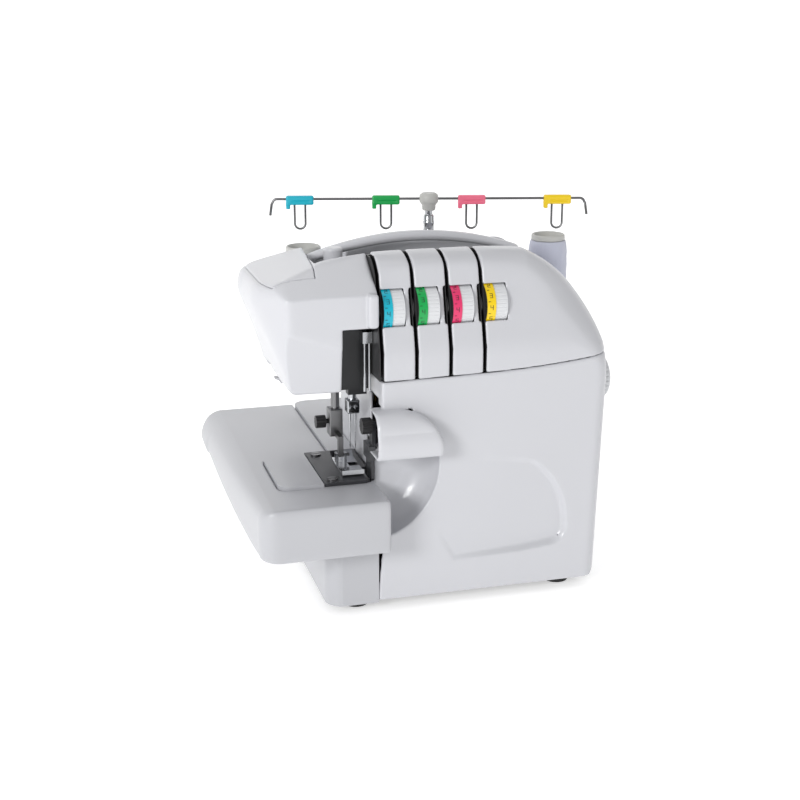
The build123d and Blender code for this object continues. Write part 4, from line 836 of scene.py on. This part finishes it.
def dial_numbers():
    """Raised black strokes for the numbers round each coloured ring, ticks between them, and a
    black washer on the ring's left."""
    digits = {0: "abcdef", 1: "bc", 2: "abged", 3: "abgcd", 4: "fgbc", 5: "afgcd",
              6: "afgedc", 7: "abc", 8: "abcdefg", 9: "abcfgd"}
    lines = {"a": ((0, 2), (1, 2)), "b": ((1, 2), (1, 1)), "c": ((1, 1), (1, 0)),
             "d": ((0, 0), (1, 0)), "e": ((0, 0), (0, 1)), "f": ((0, 1), (0, 2)),
             "g": ((0, 1), (1, 1))}
    stroke, digit_w, digit_h, tick = 0.24, 2.0, 1.7, 0.012
    for i in DIALS:
        low, high = node_mm(f"dial_ring_{i + 1}")
        cx, cy, cz = (low + high) / 2
        radius = (high[2] - low[2]) / 2 + 0.06
        verts, faces = [], []

        def patch(x0, x1, t0, t1, cy=cy, cz=cz, radius=radius, verts=verts, faces=faces):
            base = len(verts)
            for x, t in ((x0, t0), (x1, t0), (x1, t1), (x0, t1)):
                verts.append((x * MM, (cy + radius * math.cos(t)) * MM,
                              (cz + radius * math.sin(t)) * MM))
            faces.append((base, base + 1, base + 2, base + 3))

        for number in range(10):
            middle = math.radians(180 + 30 * (number - 4))
            for key in digits[number]:
                (u0, v0), (u1, v1) = lines[key]
                us = (min(u0, u1) - stroke / 2, max(u0, u1) + stroke / 2)
                vs = (min(v0, v1) - stroke / 2, max(v0, v1) + stroke / 2)
                patch(*[cx - 1.0 + u * digit_w for u in us],
                      *[middle - (v - 1) * digit_h / radius for v in vs])
            t = middle + math.radians(15)
            patch(cx - 2.6, cx - 0.8, t - tick, t + tick)
        body = f"tension_dial_{i + 1}"
        piece = mesh_piece(f"dial_numbers_{i + 1}", verts, faces, body, INK)
        thick = piece.modifiers.new("thick", "SOLIDIFY")
        thick.thickness = 0.12 * MM
        rim, hole = radius - 0.5, 2.4
        washer = [(hole, low[0] - 0.25), (rim - 0.3, low[0] - 0.25), (rim, low[0]),
                  (hole, low[0])]
        turned(f"dial_washer_{i + 1}", washer, (0.0, cy, cz), body, BLACK, 48, "X")


def handle():
    """Carry handle with a rounded section, thinning towards its ends."""
    low, high = node_mm("carry_handle")
    left, right, crown = low[0], high[0], high[2]
    half = (right - left) / 2
    y0 = (low[1] + high[1]) / 2
    rise, thick, width = 15.6, 8.5, 6.5
    pivot, ear_r, pin_r = 267.0, 5.0, 2.05

    def field(x, y, z):
        t = np.clip((x - (left + right) / 2) / half, -1, 1)
        top = crown - rise * t * t
        under = top - thick + 1.4 * t * t
        grip = both(both(slab(z, under, top), slab(y, y0 - width, y0 + width), 6.0),
                    slab(x, left + 0.1, right - 0.1), 3.0)
        from_pin = np.sqrt((y - y0) ** 2 + (z - pivot) ** 2)
        for end in (left + 3, right - 3):
            grip = either(grip, both(from_pin - ear_r, np.abs(x - end) - 2.9, 1.0), 2.0)
            grip = less(grip, both(from_pin - pin_r, np.abs(x - end) - 4.5))
        return grip

    skin("carry_handle_skin", field, (left, right), (y0 - 8, y0 + 8), (260, crown + 1), 0.8,
         "carry_handle", WHITE, ["carry_handle"])


# Finish and width of the rounded edges, in millimetres, of each CAD node that stays shown.
FINISH = {
    "base_tray": (BLACK, 0.4), "rubber_feet": (RUBBER, 0.6), "bed_casing": (TABLE_WHITE_SHADED, 0.5),
    "casing_screws": (STEEL, 0.25), "needle_plate": (DARK_STEEL, 0.25),
    "feed_dogs": (STEEL, 0.1), "lower_looper": (CHROME, 0.5), "upper_looper": (CHROME, 0.5),
    "lower_knife": (STEEL, 0.2), "upper_knife": (DARK_STEEL, 0.6), "knife_knob": (BLACK, 0.3),
    "cover_hinge_pin": (STEEL, 0.2), "thread_guides": (BLACK, 0.15),
    "tension_discs": (STEEL, 0.1), "arm_inner_cover": (INNER_GREY, 0.5),
    "chassis_frame": (CAST, 0.8), "shaft_bushes": (BRASS, 0.3), "main_shaft": (STEEL, 0.3),
    "handwheel": (DRUM_WHITE, 0.2), "motor_pulley": (STEEL, 0.3), "motor": (MOTOR, 1.0),
    "drive_belt": (RUBBER, 0.2), "needle_bar": (CHROME, 0.4), "needles": (CHROME, 0.0),
    "presser_bar": (STEEL, 0.6), "presser_clamp_screw": (BLACK, 0.3),
    "presser_foot": (CHROME, 0.25), "foot_lifter": (WHITE, 0.8), "pressure_knob": (WHITE, 0.3),
    "thread_posts": (CHROME, 0.2), "spool_stand": (WHITE, 0.6), "power_inlet": (BLACK, 0.4),
    "power_switch": (BLACK, 0.5), "stitch_dial": (DRUM_WHITE, 0.3),
}
for dial, ring_colour in enumerate((CYAN, GREEN, PINK, YELLOW)):
    FINISH[f"dial_drum_{dial + 1}"] = (DRUM_WHITE, 0.2)
    FINISH[f"dial_ring_{dial + 1}"] = (ring_colour, 0.25)
for node_name, (finish, bevel_width) in FINISH.items():
    bevelled(node_name, bevel_width, finish)

tension_panels()
door()
head()
rear()
table()
handle()
spools()
guide_bar()
pole()
dial_numbers()


# ------------------------------------------------------------------ floor, light, camera
def studio():
    """A pale floor that curves up behind, an even sky and three soft lamps."""
    floor_mat = material("floor_white", (0.93, 0.93, 0.93), 0.6, grain=0.01, mottle=0.01)
    glow = floor_mat.node_tree.nodes["Principled BSDF"].inputs
    glow["Emission Color"].default_value = (1, 1, 1, 1)
    glow["Emission Strength"].default_value = 0.46
    mesh = bpy.data.meshes.new("floor")
    half, rise, back, curve = 30.0, 2.2, 1.6, 0.8
    rows = [(-half, 0.0), (back, 0.0)]
    rows += [(back + curve * math.sin(t), curve - curve * math.cos(t))
             for t in np.linspace(0.2, math.pi / 2, 8)]
    rows += [(back + curve, rise)]
    verts = [(x, y, z) for y, z in rows for x in (-half, half)]
    faces = [(2 * k, 2 * k + 1, 2 * k + 3, 2 * k + 2) for k in range(len(rows) - 1)]
    mesh.from_pydata(verts, [], faces)
    for face in mesh.polygons:
        face.use_smooth = True
    floor = bpy.data.objects.new("floor", mesh)
    bpy.context.scene.collection.objects.link(floor)
    floor.data.materials.append(floor_mat)

    world = bpy.data.worlds.new("studio")
    bpy.context.scene.world = world
    world.use_nodes = True
    sky = world.node_tree.nodes["Background"].inputs
    sky["Color"].default_value = (1, 1, 1, 1)
    sky["Strength"].default_value = 0.50

    def light(name, spot, aim, size, power):
        lamp = bpy.data.lights.new(name, "AREA")
        lamp.size = size
        lamp.energy = power
        stand = bpy.data.objects.new(name, lamp)
        stand.location = spot
        stand.rotation_euler = (Vector(aim) - Vector(spot)).to_track_quat("-Z", "Y").to_euler()
        bpy.context.scene.collection.objects.link(stand)

    light("key", spot=(-1.45, -1.35, 0.8), aim=(0, 0, 0.18), size=0.5, power=19)
    light("top", spot=(-0.2, 0.3, 1.9), aim=(0, 0, 0.1), size=1.2, power=4)
    light("fill", spot=(1.5, -1.3, 0.7), aim=(0, 0, 0.15), size=1.0, power=2)


def camera():
    """Stands to the front left and a little above, as the machine is usually shown."""
    yaw, pitch = math.radians(15.6), math.radians(16.5)
    data = bpy.data.cameras.new("camera")
    data.sensor_width = 36.0
    data.lens = 63.0
    eye = bpy.data.objects.new("camera", data)
    eye.location = (-0.3219, -1.1028, 0.480)
    eye.rotation_euler = Euler((math.pi / 2 - pitch, 0, -yaw), "XYZ")
    bpy.context.scene.collection.objects.link(eye)
    bpy.context.scene.camera = eye
    bpy.context.scene.view_settings.view_transform = "Standard"


studio()
camera()
